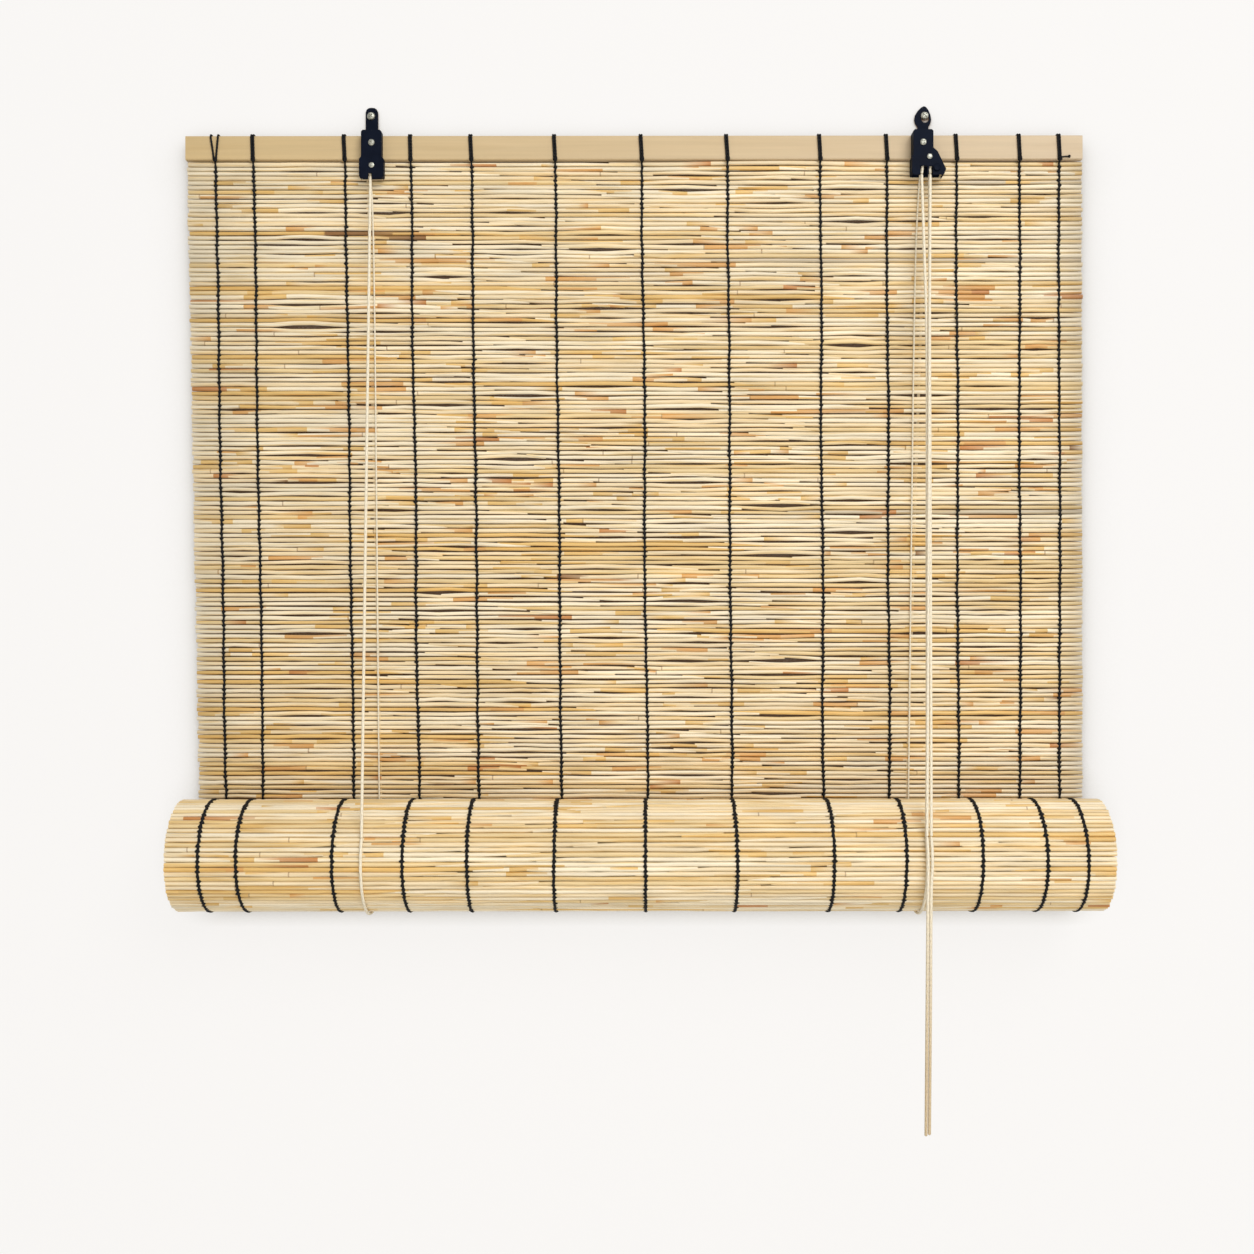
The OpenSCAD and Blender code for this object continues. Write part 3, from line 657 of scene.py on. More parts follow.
for name, (middle, hand, x, halfway) in backStrands.items():
    bend = middle + hand * 6.4 * mm
    strand = [
        (x, backY, axisZ),
        (halfway, backY, axisZ + (railBottom - axisZ) * backLook["halfway"]),
        (bend, backY, strandTop),
    ]
    stapled = [
        (bend, backY, strandTop),
        (middle + hand * 6.8 * mm, railBack + 1.7 * mm, railBottom - 4 * mm),
        *stepped((middle, railBack, railTop), [(hand * 7, y, z) for y, z in backLook["staple"]]),
    ]
    hang(layCord(name, strand))
    layCord(name, stapled, swell=knot, ending="End")

faceStrands = {
    "left_face_cord": [
        (left + 6.2 * mm, matFront - 1 * mm, slingEndZ),
        *stepped((left, matFront, railBottom), [(-1.2, -1, -32), (-2.6, -1.2, -22.6), (-3.2, -2.1, -19.4)]),
        *stepped((left, cheekFront, railBottom), [(-3.4, -0.6, -18.2), (-3.4, -2.1, -17.3)]),
    ],
    "right_face_cord": [
        (right - 13.6 * mm, matFront - 1 * mm, slingEndZ),
        (right - 5.1 * mm, matFront - 1 * mm, railBottom - (railBottom - axisZ) * 0.1275),
        *stepped((right, matFront, railBottom), [(-1.9, -1, -25.5), (-1.6, -1.2, -21), (-1.5, -2.1, -17.8)]),
        *stepped((right, cheekFront, railBottom), [(-1.5, -0.6, -16.6), (-1.5, -2.1, -15.7)]),
    ],
}
for name, route in faceStrands.items():
    hang(layCord(name, route, thick=cordLook["faceThick"]))

lockWay = [(10.2, 0, -5), (8.3, 0, -8.2), (7.3, 0, -11.5)]  # between the lock's pulleys and its roller
crossRoute = [mouthLeft] + stepped((left, leftLine, railBottom), [(-2.6, -0.15, -13)])
crossRoute += roundAxle(axleLeft, leftLine, (184, 155, 125, 95))
crossRoute += stepped((left, leftLine, railBottom), [(2.8, 0, -2.2), (4.4, 0.1, 1.8), (4.9, 0.8, 5.2)])
crossRoute += stepped((left, railFront, railBottom), [(4.9, -1, 7.1), (4.9, 3, 7.5)])
backLeft = [(5.2, -2, 7.7), (6.6, 1, 7.9), (9.5, 2.7, 8), (14, 3.2, 8)]
crossRoute += stepped((left, railBack, railBottom), backLeft)
backRight = [(-14, 3.2, 8), (-9.8, 2.7, 8), (-7, 1, 7.9), (-5.6, -2, 7.7)]
crossRoute += stepped((right, railBack, railBottom), backRight)
crossRoute += stepped((right, railFront, railBottom), [(-5.2, 3, 7.4), (-5, -0.6, 6.8)])
crossRoute += stepped((right, rearLine, railBottom), [(-4, 1, 6), (-1.4, 0, 5.1), (2, 0, 4.1)])
crossRoute += roundAxle(axleRight, rearLine, (90, 60, 30, 0))
crossRoute += stepped((right, rearLine, railBottom), lockWay) + [mouthPullB]
headRoute = [mouthLift] + stepped((right, frontLine, railBottom), [(-0.4, -0.3, -10)])
headRoute += roundAxle(axleRight, frontLine, (180, 150, 120, 90, 60, 30, 0))
headRoute += stepped((right, frontLine, railBottom), lockWay) + [mouthPullA]
layCord("cross_cord", crossRoute)
layCord("right_lift_cord_head", headRoute)
print("cords laid")


# Reeds: a stalk is modelled, then copied, stretched and coloured for each course
reedLook = {
    "pitch": 4.6 * mm,
    "half": 2.45 * mm,
    "thin": 1.82 * mm,
    "thick": 2.35 * mm,
    "sides": 6,
    "taper": 0.2,
    "shade": (0.95, 1.03),
    "ringGap": (0.55, 1.45),
    "lap": (12 * mm, 45 * mm),
    "lapFade": 3,
    "lapShift": 0.95 * mm,
    "lapThin": 0.42,
    "shortest": 0.15,
    "longest": 0.4,
    "stub": 0.06,
    "stubGrown": 0.08,
    "smooth": 70,
    "hollow": 0.5,
    "sunk": 0.8 * mm,
    "edgeHalf": 2.15 * mm,
}
sheathLook = {
    "rows": (1, 3),
    "long": (0.015, 0.065),
    "shift": 0.012,
    "spans": (1, 5),
    "allRound": 0.55,
    "clinging": (2, 4),  # sides of the stalk
    "shade": (0.92, 1.06),
}
jointLook = {"long": 1.3 * mm, "proud": 1.06, "own": 0.45, "brown": 0.55}
straw = {
    "cream": srgb(246, 232, 203),
    "pale": srgb(242, 222, 184),
    "straw": srgb(234, 208, 157),
    "golden": srgb(230, 192, 122),
    "sheath": srgb(222, 170, 104),
    "rust": srgb(200, 138, 80),
    "brown": srgb(150, 108, 66),
    "grey": srgb(210, 195, 168),
    "cut": srgb(228, 207, 162),
    # a dark painted shade on the sunk centre of a cut end, for the hollow inside the stalk
    "pith": srgb(126, 98, 62),
}


def stalkBlank(name, cuts):
    deselect()
    bpy.ops.mesh.primitive_cylinder_add(
        vertices=reedLook["sides"], radius=1, depth=1, rotation=(0, math.pi / 2, 0)
    )
    blank = bpy.context.object
    blank.name = name
    bpy.ops.object.transform_apply(location=False, rotation=True, scale=False)
    bpy.ops.object.mode_set(mode="EDIT")
    bpy.ops.mesh.select_mode(type="FACE")
    bpy.ops.object.mode_set(mode="OBJECT")
    for face in blank.data.polygons:
        face.select = abs(face.normal.x) > 0.9
    bpy.ops.object.mode_set(mode="EDIT")
    bpy.ops.mesh.inset(thickness=1 - reedLook["hollow"], depth=0)
    bpy.ops.mesh.select_mode(type="EDGE")
    bpy.ops.mesh.select_all(action="DESELECT")
    bpy.ops.object.mode_set(mode="OBJECT")
    points = [v.co.copy() for v in blank.data.vertices]
    for edge in blank.data.edges:
        a, b = (points[v] for v in edge.vertices)
        edge.select = abs(a.x - b.x) > 0.9
    bpy.ops.object.mode_set(mode="EDIT")
    bpy.ops.mesh.subdivide(number_cuts=cuts)
    bpy.ops.object.mode_set(mode="OBJECT")
    bpy.ops.object.shade_smooth_by_angle(angle=math.radians(reedLook["smooth"]))
    blank.data.attributes.new("reedColour", "FLOAT_COLOR", "CORNER")
    return blank


class Stalk:
    def __init__(self, name, cuts):
        self.blank = stalkBlank(name, cuts)
        mesh = self.blank.data
        sides = reedLook["sides"]
        place = np.zeros(len(mesh.vertices) * 3)
        mesh.vertices.foreach_get("co", place)
        place = place.reshape(-1, 3)
        self.rings = cuts + 2
        self.ring = np.rint((place[:, 0] + 0.5) * (cuts + 1)).astype(int)
        self.reach = np.hypot(place[:, 1], place[:, 2])
        self.angle = np.arctan2(place[:, 2], place[:, 1])
        self.inward = np.where(self.reach < 0.9, -np.sign(place[:, 0]), 0)
        span, end, side = [], [], []
        for face in mesh.polygons:
            inner = [self.reach[v] < 0.9 for v in face.vertices]
            first = min(self.ring[v] for v in face.vertices)
            turn = math.atan2(face.center.z, face.center.y) / (2 * math.pi)
            for v in face.vertices:  # the last two rows of colours are the cut rim and the sunk centre, whose dark colour is a painted shade for the hollow inside the stalk
                span.append(-1 if all(inner) else -2 if any(inner) else first)
                end.append(self.ring[v] - first)
                side.append(int(turn * sides) % sides)
        self.corner = np.array(span), np.array(end), np.array(side)

    def lay(self, name, xs, ys, zs, radii, colours):
        mesh = self.blank.data.copy()
        k = self.ring
        place = np.stack(
            [
                xs[k] + self.inward * reedLook["sunk"],
                ys[k] + radii[k] * self.reach * np.cos(self.angle),
                zs[k] + radii[k] * self.reach * np.sin(self.angle),
            ],
            axis=1,
        )
        mesh.vertices.foreach_set("co", place.ravel())
        # cut rim colour, and a painted shade on the sunk centre for the hollow inside
        ends = np.array([straw["cut"], straw["pith"]])[:, None, None]
        ends = np.broadcast_to(ends, (2, 2, reedLook["sides"], 4))
        shades = np.concatenate([colours, ends])[self.corner]
        mesh.attributes["reedColour"].data.foreach_set("color", shades.ravel())
        obj = bpy.data.objects.new(name, mesh)
        bpy.context.scene.collection.objects.link(obj)
        return obj


def pick(weights):
    names = list(weights)
    share = np.array([weights[n] for n in names], float)
    return np.array(straw[names[chance.choice(len(names), p=share / share.sum())]])


def patches(count, rows, x0, x1, weights):
    # Leaf sheaths often stay on at the same place on a few neighbouring stalks
    found = []
    for _ in range(count):
        start = chance.uniform(x0, x1)
        found.append(
            {
                "row": int(chance.integers(0, rows)),
                "high": int(chance.integers(*sheathLook["rows"])),
                "from": start,
                "to": start + chance.uniform(*sheathLook["long"]),
                "colour": pick(weights),
            }
        )
    return found


def stalkEnds(x0, x1):
    ends = [x0]
    while x1 - ends[-1] > reedLook["longest"]:
        ends.append(ends[-1] + chance.uniform(reedLook["shortest"], reedLook["longest"]))
    if x1 - ends[-1] < reedLook["stub"] and len(ends) > 1:
        ends[-1] = x1 - reedLook["stubGrown"]
    return list(zip(ends, ends[1:] + [x1]))


def ringPlaces(x0, x1, count):
    steps = chance.uniform(*reedLook["ringGap"], count - 1)
    return x0 + (x1 - x0) * np.concatenate([[0], np.cumsum(steps) / steps.sum()])


def lappedRun(start, end, x0, x1, count):
    # A stalk's rings, reaching past its own stretch of the course by a lap where another stalk goes on
    lap = chance.uniform(*reedLook["lap"]) / 2
    first, last = start - (0 if start == x0 else lap), end + (0 if end == x1 else lap)
    return ringPlaces(first, last, count), lap


def sheathSides():
    # A sheath goes right round the stalk or clings to one side of it
    sides = reedLook["sides"]
    if chance.random() < sheathLook["allRound"]:
        return np.arange(sides)
    start, count = int(chance.integers(0, sides)), int(chance.integers(*sheathLook["clinging"]))
    return (start + np.arange(count)) % sides


def addSheath(colours, first, last, shade):
    # A leaf sheath stops short at a joint and thins out to a point the other way
    sides = sheathSides()
    count = last - first
    turned = chance.random() < 0.5
    for step in range(count):
        span = last - 1 - step if turned else first + step
        kept = sides[: math.ceil(len(sides) * (1 - step / count))]
        for near in (0, 1):
            end = 1 - near if turned else near
            share = 1 - ((step + near) / count) ** 2
            colours[span, end, kept] += share * (shade - colours[span, end, kept])


def stalkColours(xs, row, weights, marks, sheaths, sheathChance):
    base = pick(weights) * chance.uniform(*reedLook["shade"])
    spans = len(xs) - 1
    colours = np.tile(base, (spans, 2, reedLook["sides"], 1))
    for _ in range(chance.poisson(sheathChance)):
        first = int(chance.integers(0, spans - 1))
        last = min(spans, first + int(chance.integers(*sheathLook["spans"])))
        addSheath(colours, first, last, pick(sheaths) * chance.uniform(*sheathLook["shade"]))
    middle = (xs[1:] + xs[:-1]) / 2
    for mark in marks:
        if mark["row"] <= row < mark["row"] + mark["high"]:
            shift = chance.uniform(-sheathLook["shift"], sheathLook["shift"])
            inside = np.flatnonzero((middle > mark["from"] + shift) & (middle < mark["to"] + shift))
            if len(inside):
                shade = mark["colour"] * chance.uniform(*sheathLook["shade"])
                addSheath(colours, inside[0], inside[-1] + 1, shade)
    colours[..., 3] = 1
    return colours


def addJoint(xs, radii, colours):
    # A stalk's joint: a narrow darker ring that stands a little proud
    at = int(chance.integers(2, len(xs) - 2))
    xs[at] = xs[at - 1] + jointLook["long"]
    radii[at - 1 : at + 1] *= jointLook["proud"]
    brown = np.array(straw["brown"]) * jointLook["brown"]
    colours[at - 1] = colours[at - 1] * jointLook["own"] + brown
    colours[at - 1, ..., 3] = 1


def lapsOf(xs, lap, freeStart, freeEnd):
    # How far a stalk gives way to the next one of its course, at its start and at its end
    fade = reedLook["lapFade"] * lap
    over = np.zeros(len(xs)) if freeStart else np.clip(1 - (xs - xs[0]) / fade, 0, 1)
    under = np.zeros(len(xs)) if freeEnd else np.clip(1 - (xs[-1] - xs) / fade, 0, 1)
    return over, under


fullStalk = Stalk("stalkBlank", cuts=13)
coreStalk = Stalk("coreStalkBlank", cuts=1)

# The hanging mat
matRows = {
    "count": 149,
    "leftTop": -462.8 * mm,
    "leftBottom": -450.4 * mm,
    "rightEnd": 436.3 * mm,
    "across": (-0.47, 0.445, 366),
    "ragged": 1.1 * mm,
    "rightEnds": (-1, 0.4),
    "openings": 560,
    "openingHalf": (0.3, 0.5),
    "openingHigh": (0.5 * mm, 1.7 * mm),
    "openingTop": 1.15,
    "openingFoot": 0.75,  # lower down the camera looks level through the mat, so a gap shows more
    "openingPoint": 1.3,
    "openingRows": 4,
    "openingFade": 1.5,
    "wander": 0.2 * mm,
    "wanderUp": 0.6,
    "depth": 0.4,  # mm
    "patches": 300,
    "patchSpan": (-0.46, 0.42),
    "sheaths": 0.95,
    "joints": 0.22,
    "bulge": {"at": 128 * mm, "half": 82 * mm, "high": 1.9 * mm, "second": 0.55},
    "edgeTone": ((-462 * mm, 0.8), (-380 * mm, 1.0), (405 * mm, 1.0), (436 * mm, 0.7)),
}
edgePlace, edgeTone = zip(*matRows["edgeTone"])  # painted shade: the mat is darker towards its edges, standing in for less light reaching them
matColours = {"cream": 43, "pale": 36, "straw": 15, "golden": 5, "grey": 1}
matSheaths = {"golden": 55, "sheath": 36, "rust": 8, "brown": 1}
warpHalf = 1.1 * mm  # a warp leans right on its way down, so its box's sides give its head and foot
warpBoxes = [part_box(name) for name in warpNames]
warpTop = np.array([low.x + warpHalf for low, high in warpBoxes])
warpFoot = np.array([high.x - warpHalf for low, high in warpBoxes])
firstZ = matHigh.z - reedLook["half"]
matMiddleY = (matLow.y + matHigh.y) / 2
acrossMat = np.linspace(*matRows["across"])
sag = np.zeros((matRows["count"], len(acrossMat)))
bayShares = np.diff(warpTop) / np.diff(warpTop).sum()
for _ in range(matRows["openings"]):  # places where two reeds bow apart between two warps
    row = int(chance.integers(2, matRows["count"] - 2))
    bay = int(chance.choice(len(bayShares), p=bayShares))
    fall = row / matRows["count"]
    start, end = warpTop[bay : bay + 2] + fall * (warpFoot - warpTop)[bay : bay + 2]
    half = chance.uniform(*matRows["openingHalf"]) * (end - start)
    centre = chance.uniform(start + half, end - half)
    lens = np.clip(1 - ((acrossMat - centre) / half) ** 2, 0, None) ** matRows["openingPoint"]
    tall = chance.uniform(*matRows["openingHigh"])
    tall *= matRows["openingTop"] + fall * (matRows["openingFoot"] - matRows["openingTop"])
    firstRow = max(0, row - matRows["openingRows"])
    lastRow = min(matRows["count"] - 1, row + matRows["openingRows"])
    for other in range(firstRow, lastRow + 1):
        way = 1 if other < row else -1
        near = (row - 1 - other) if other < row else (other - row)
        sag[other] += way * tall * 0.5 * lens * math.exp(-near / matRows["openingFade"])
bulge = matRows["bulge"]
rise = np.clip(1 - ((acrossMat - bulge["at"]) / bulge["half"]) ** 2, 0, None)
sag[0] += bulge["high"] * rise
sag[1] += bulge["second"] * bulge["high"] * rise

marks = patches(matRows["patches"], matRows["count"], *matRows["patchSpan"], matSheaths)
stalks = []
for row in range(matRows["count"]):
    fall = row / (matRows["count"] - 1)
    edge = matRows["leftTop"] + fall * (matRows["leftBottom"] - matRows["leftTop"])
    x0 = edge + chance.uniform(-1, 1) * matRows["ragged"]
    x1 = matRows["rightEnd"] + chance.uniform(*matRows["rightEnds"]) * matRows["ragged"]
    rowZ = firstZ - row * reedLook["pitch"]
    for start, end in stalkEnds(x0, x1):
        xs, lap = lappedRun(start, end, x0, x1, fullStalk.rings)
        size = chance.uniform(reedLook["thin"], reedLook["thick"])
        taper = chance.choice((-1, 1)) * chance.uniform(0, reedLook["taper"])
        radii = size * (1 + taper * np.linspace(-0.5, 0.5, len(xs)))
        colours = stalkColours(xs, row, matColours, marks, matSheaths, matRows["sheaths"])
        # painted shade: each stalk's colour is darkened towards the mat's edges
        paintedShade = np.interp(xs, edgePlace, edgeTone)
        colours[..., :3] *= np.stack([paintedShade[:-1], paintedShade[1:]], axis=1)[:, :, None, None]
        if chance.random() < matRows["joints"]:
            addJoint(xs, radii, colours)
        # Where two stalks of a course overlap, each is thinner and they lie one above the other
        over, under = lapsOf(xs, lap, start == x0, end == x1)
        radii = radii * (1 - reedLook["lapThin"] * np.maximum(over, under))
        if start == x0:  # full ends close the mat's edges
            radii[:2] = np.maximum(radii[:2], reedLook["edgeHalf"])
        if end == x1:
            radii[-2:] = np.maximum(radii[-2:], reedLook["edgeHalf"])
        drift = chance.normal(0, matRows["wander"], len(xs))
        zs = rowZ + np.interp(xs, acrossMat, sag[row]) + drift * matRows["wanderUp"]
        zs += (over - under) * reedLook["lapShift"]
        ys = matMiddleY + chance.uniform(-matRows["depth"], matRows["depth"]) * mm + drift
        stalks.append(fullStalk.lay("matStalk", xs, ys, zs, radii, colours))
reedMat = settle(joined("reedMat", stalks), "head", reedStraw, "reed", "reed_mat")
hang(reedMat)
print("mat laid:", len(stalks), "stalks")

# The rolled part: the same reeds wound in turns, the outer turn in full
rollLook = {
    "turns": 5,
    "coreRadius": 15.55 * mm,
    "coreSlack": 0.05 * mm,
    "stepFrom": 315,
    "fullTo": 372,
    "ragged": 0.5 * mm,
    "leftEnds": (-1.3, 0.4),
    "rightEnds": (-1.3, 0.7),
    "half": (2.2 * mm, 2.45 * mm),
    "wander": 0.12 * mm,
    "slip": 0.14 * mm,
    "patches": 80,
    "patchRows": 70,
    "sheaths": 0.6,
    "joints": 0.2,
}
rollColours = {"cream": 34, "pale": 38, "straw": 20, "golden": 7, "grey": 1}
rollSheaths = {"golden": 62, "sheath": 31, "rust": 6, "brown": 1}
outerRadius = (rollHigh.z - rollLow.z) / 2 - reedLook["half"]
turnFit = (outerRadius - rollLook["coreRadius"]) / rollLook["turns"]


def turnRadius(degrees):
    part = max(0, (degrees % 360 - rollLook["stepFrom"]) / (360 - rollLook["stepFrom"]))
    return outerRadius - turnFit * (degrees // 360 + part)


def turnStep(degrees):
    # On the step, an eighth of a turn, the mat goes in by a whole turn's thickness
    slope = turnFit * 4 / math.pi if degrees % 360 > rollLook["stepFrom"] else 0
    return math.degrees(reedLook["pitch"] / math.hypot(turnRadius(degrees), slope))


rollAngles = [0.0]
while True:
    degrees = rollAngles[-1] + turnStep(rollAngles[-1])
    if turnRadius(degrees) <= rollLook["coreRadius"] - rollLook["coreSlack"]:
        break
    rollAngles.append(degrees)
marks = patches(rollLook["patches"], rollLook["patchRows"], rollLow.x, rollHigh.x, rollSheaths)
stalks = []
for number, degrees in enumerate(rollAngles):
    angle = math.radians(degrees)
    x0 = rollLow.x + chance.uniform(*rollLook["leftEnds"]) * rollLook["ragged"]
    x1 = rollHigh.x - chance.uniform(*rollLook["rightEnds"]) * rollLook["ragged"]
    kind = fullStalk if degrees < rollLook["fullTo"] else coreStalk
    for start, end in stalkEnds(x0, x1) if kind is fullStalk else [(x0, x1)]:
        xs, lap = lappedRun(start, end, x0, x1, kind.rings)
        over, under = lapsOf(xs, lap, start == x0, end == x1)
        size = chance.uniform(*rollLook["half"])
        radii = size * (1 - reedLook["lapThin"] * np.maximum(over, under))
        if kind is fullStalk:
            colours = stalkColours(xs, number, rollColours, marks, rollSheaths, rollLook["sheaths"])
            if chance.random() < rollLook["joints"]:
                addJoint(xs, radii, colours)
        else:
            colours = np.tile(pick(rollColours), (len(xs) - 1, 2, reedLook["sides"], 1))
        out = turnRadius(degrees) + chance.normal(0, rollLook["wander"], len(xs))
        shift = chance.normal(0, rollLook["slip"], len(xs)) + (under - over) * reedLook["lapShift"]
        turned = angle + shift / turnRadius(degrees)
        ys = axisY + out * np.cos(turned)
        zs = axisZ - out * np.sin(turned)
        stalks.append(kind.lay("rollStalk", xs, ys, zs, radii, colours))
settle(joined("rolledReeds", stalks), "roll", reedStraw, "reed", "rolled_mat")
for blank in (fullStalk.blank, coreStalk.blank):
    bpy.data.objects.remove(blank)
print("roll wound:", len(rollAngles), "reeds")

# Twine
twineLook = {
    "half": 1.15 * mm,
    "flat": 0.85,
    "sides": 7,
    "twist": 0.1,
    "twistLong": 3.2 * mm,
    "barb": (1.25, 2.2),
    "overReed": (0.86, 0.95),  # its width on a reed and beside it
    "stray": 0.7 * mm,
}


def twisted(angle, run):
    return 1 + twineLook["twist"] * np.cos(2 * angle - 2 * math.pi * run / twineLook["twistLong"])


def overReeds(crests, valleys, half):
    # Rises over each reed and dips between two, where the pair of threads cross and stand out sideways
    line, wide = [], []
    for crest, valley in zip(crests, valleys):
        middle = (np.array(crest) + np.array(valley)) / 2
        valley = np.array(valley) + (chance.uniform(-1, 1) * twineLook["stray"], 0, 0)
        line += [np.array(crest), middle, valley]
        wide += [*twineLook["overReed"], chance.uniform(*twineLook["barb"])]
    after = np.vstack([line[1:], line[-1:]])
    smooth = (np.array(line) * 2 + after) / 3
    return smooth, np.array(wide) * half


def threadTube(name, line, wide):
    return sweep(name, line, wide, twineLook["half"] * twineLook["flat"], twineLook["sides"], twisted)


warpLook = {
    "wave": {"reach": 0.8 * mm, "share": (0.4, 1.0), "waves": (1.3, 2.6)},
    "ripple": {"reach": 0.35 * mm, "share": (0.5, 1.0), "waves": (9, 15)},
    "start": (0, 6.28),
    "swayGrows": 12,
    "nudge": 0.22 * mm,
    "proud": 0.2 * mm,
    "dip": 0.9 * mm,
    "offRail": 0.7 * mm,
    "underRail": 0.6 * mm,
    "frontFoot": 20 * mm,
    "backFoot": 1 * mm,
    "head": 1.1 * mm,
}


def warpSway():
    # A slow wave and a quicker ripple down a warp, as reach, start and number of waves
    sway = []
    for part in (warpLook["wave"], warpLook["ripple"]):
        reach = chance.uniform(*part["share"]) * part["reach"]
        start = chance.uniform(*warpLook["start"])
        sway.append((reach, start, chance.uniform(*part["waves"])))
    return sway


def warpX(i, sway, z):
    # The sway grows from nothing at the rail over the first twelfth of the fall
    fall = (firstZ - z) / (firstZ - axisZ)
    wave = sum(reach * math.sin(start + fall * waves * 2 * math.pi) for reach, start, waves in sway)
    wave *= min(1, warpLook["swayGrows"] * max(fall, 0))
    return warpTop[i] + fall * (warpFoot[i] - warpTop[i]) + wave


matRowZ = [firstZ - k * reedLook["pitch"] for k in range(matRows["count"])]
warpSides = (
    (matFront, railFront, -1, axisZ + warpLook["frontFoot"]),
    (matBack, railBack, 1, axisZ + warpLook["backFoot"]),
)
for i, name in enumerate(warpNames):
    sway = warpSway()
    legs = []
    for surface, railSide, way, endZ in warpSides:
        crests, valleys = [], []
        for k, z in enumerate(z for z in matRowZ if z > endZ):
            nudge = warpLook["nudge"] if k % 2 else -warpLook["nudge"]
            crests.append((warpX(i, sway, z) + nudge, surface + way * warpLook["proud"], z))
            valley = z - reedLook["pitch"] / 2
            valleys.append((warpX(i, sway, valley), surface - way * warpLook["dip"], valley))
        line, wide = overReeds(crests, valleys, twineLook["half"])
        startY, startZ = railSide + way * warpLook["offRail"], railBottom - warpLook["underRail"]
        line = np.vstack([[(warpX(i, sway, firstZ), startY, startZ)], line])
        legs.append(threadTube("warpLeg", line, np.concatenate([[twineLook["half"]], wide])))
    warp = settle(joined(pieceName(name), legs), "head", blackTwine, "twine", name)
    hang(warp)

ringLook = {
    "places": (-422, -386, -296, -230, -170, -89, -3, 82, 172.5, 240.5, 312, 372, 410.5),  # mm
    "half": 1.38 * mm,
    "from": 1,
    "to": 336,
    "sway": (0.3, 0.9),  # mm
    "start": (0, 6.28),
    "waves": 1.5,
    "nudge": 0.2 * mm,
    "proud": 0.3 * mm,
    "dip": 1.0 * mm,
}
outerAngles = [a for a in rollAngles if ringLook["from"] < a < ringLook["to"]]
rings = []
for place in ringLook["places"]:
    x = place * mm
    crests, valleys = [], []
    reach, start = chance.uniform(*ringLook["sway"]) * mm, chance.uniform(*ringLook["start"])
    for k, degrees in enumerate(outerAngles):
        halfway = degrees + turnStep(degrees) / 2
        angle, dip = math.radians(degrees), math.radians(halfway)
        drift = reach * math.sin(start + angle * ringLook["waves"])
        crest = turnRadius(degrees) + reedLook["half"] + ringLook["proud"]
        valley = turnRadius(halfway) + reedLook["half"] - ringLook["dip"]
        nudge = ringLook["nudge"] if k % 2 else -ringLook["nudge"]
        crests.append((x + drift + nudge, axisY + crest * math.cos(angle), axisZ - crest * math.sin(angle)))
        valleys.append((x + drift, axisY + valley * math.cos(dip), axisZ - valley * math.sin(dip)))
    rings.append(threadTube("rollTwine", *overReeds(crests, valleys, ringLook["half"])))
settle(joined("rollTwine", rings), "roll", blackTwine, "twine", "roll_warp_threads")

# Ties over the rail, each of two strands with a wrapped knot under them
tieLook = {
    "half": 1.02 * mm,
    "step": 1.0 * mm,
    "sides": 7,
    "apart": 1.02 * mm,
    "firstSpread": 3.6 * mm,  # the first tie's strands spread to a V
    "lean": (-1.6, -0.4),  # mm
    "corner": 0.9 * mm,
}
wrapLook = {
    "turns": 2.4,
    "points": 34,
    "reach": 1.75 * mm,
    "deep": 0.95 * mm,
    "top": 1.6,  # mm
    "high": 3.1,  # mm
    "half": 0.72 * mm,
    "sides": 6,
}
ties = []
for i, warpAt in enumerate(warpTop):
    lean = chance.uniform(*tieLook["lean"]) * mm
    spread = tieLook["apart"] if i else tieLook["firstSpread"]
    for hand in (-1, 1):
        foot = warpAt + hand * tieLook["apart"]
        head = warpAt + lean + hand * spread
        front, back = railFront - tieLook["corner"], railBack + tieLook["corner"]
        top = railTop + tieLook["corner"]
        route = [
            (foot, front, railBottom - 1 * mm),
            ((foot * 2 + head) / 3, front, railBottom + 8 * mm),
            (head, front, railTop - 1.5 * mm),
            (head, front + 0.5 * mm, railTop + 0.4 * mm),
            (head, front + 1.6 * mm, top),
            (head, back - 1.6 * mm, top),
            (head, back - 0.5 * mm, railTop + 0.4 * mm),
            (head, back, railTop - 1.5 * mm),
            (foot, back, railBottom - 1 * mm),
        ]
        line = alongRoute(route, tieLook["step"])
        ties.append(sweep("tie", line, tieLook["half"], tieLook["half"], tieLook["sides"], twisted))
    for face, way in ((railFront, -1), (railBack, 1)):
        turns = np.linspace(0, wrapLook["turns"] * 2 * math.pi, wrapLook["points"])
        wrap = [
            (
                warpAt + wrapLook["reach"] * math.cos(a),
                face + way * (wrapLook["deep"] + wrapLook["deep"] * math.sin(a)),
                railBottom + (wrapLook["top"] - a / turns[-1] * wrapLook["high"]) * mm,
            )
            for a in turns
        ]
        half = wrapLook["half"]
        ties.append(sweep("wrap", wrap, half, half, wrapLook["sides"], twisted, (0, 0, 1)))
# The last warp's loose end, with a knot near its tip
looseLook = {"step": 0.8 * mm, "half": 0.7 * mm, "knot": 0.9 * mm, "knotAt": 9.4 * mm, "knotLong": 0.9 * mm}
looseSteps = [(0, -1.3, 1.2), (4, -1.2, 2.2), (8, -1.0, 2.4), (10.5, -1.0, 2.7)]
looseEnd = stepped((warpTop[-1], railFront, railBottom), looseSteps)
line = alongRoute(looseEnd, looseLook["step"])
offKnot = (line[:, 0] - warpTop[-1] - looseLook["knotAt"]) / looseLook["knotLong"]
size = looseLook["half"] + looseLook["knot"] * np.exp(-(offKnot**2))
ties.append(sweep("looseEnd", line, size, size, tieLook["sides"], twisted, (0, 0, 1)))
settle(joined("railTies", ties), "head", blackTwine, "twine", "rail_ties")
print("twine tied")


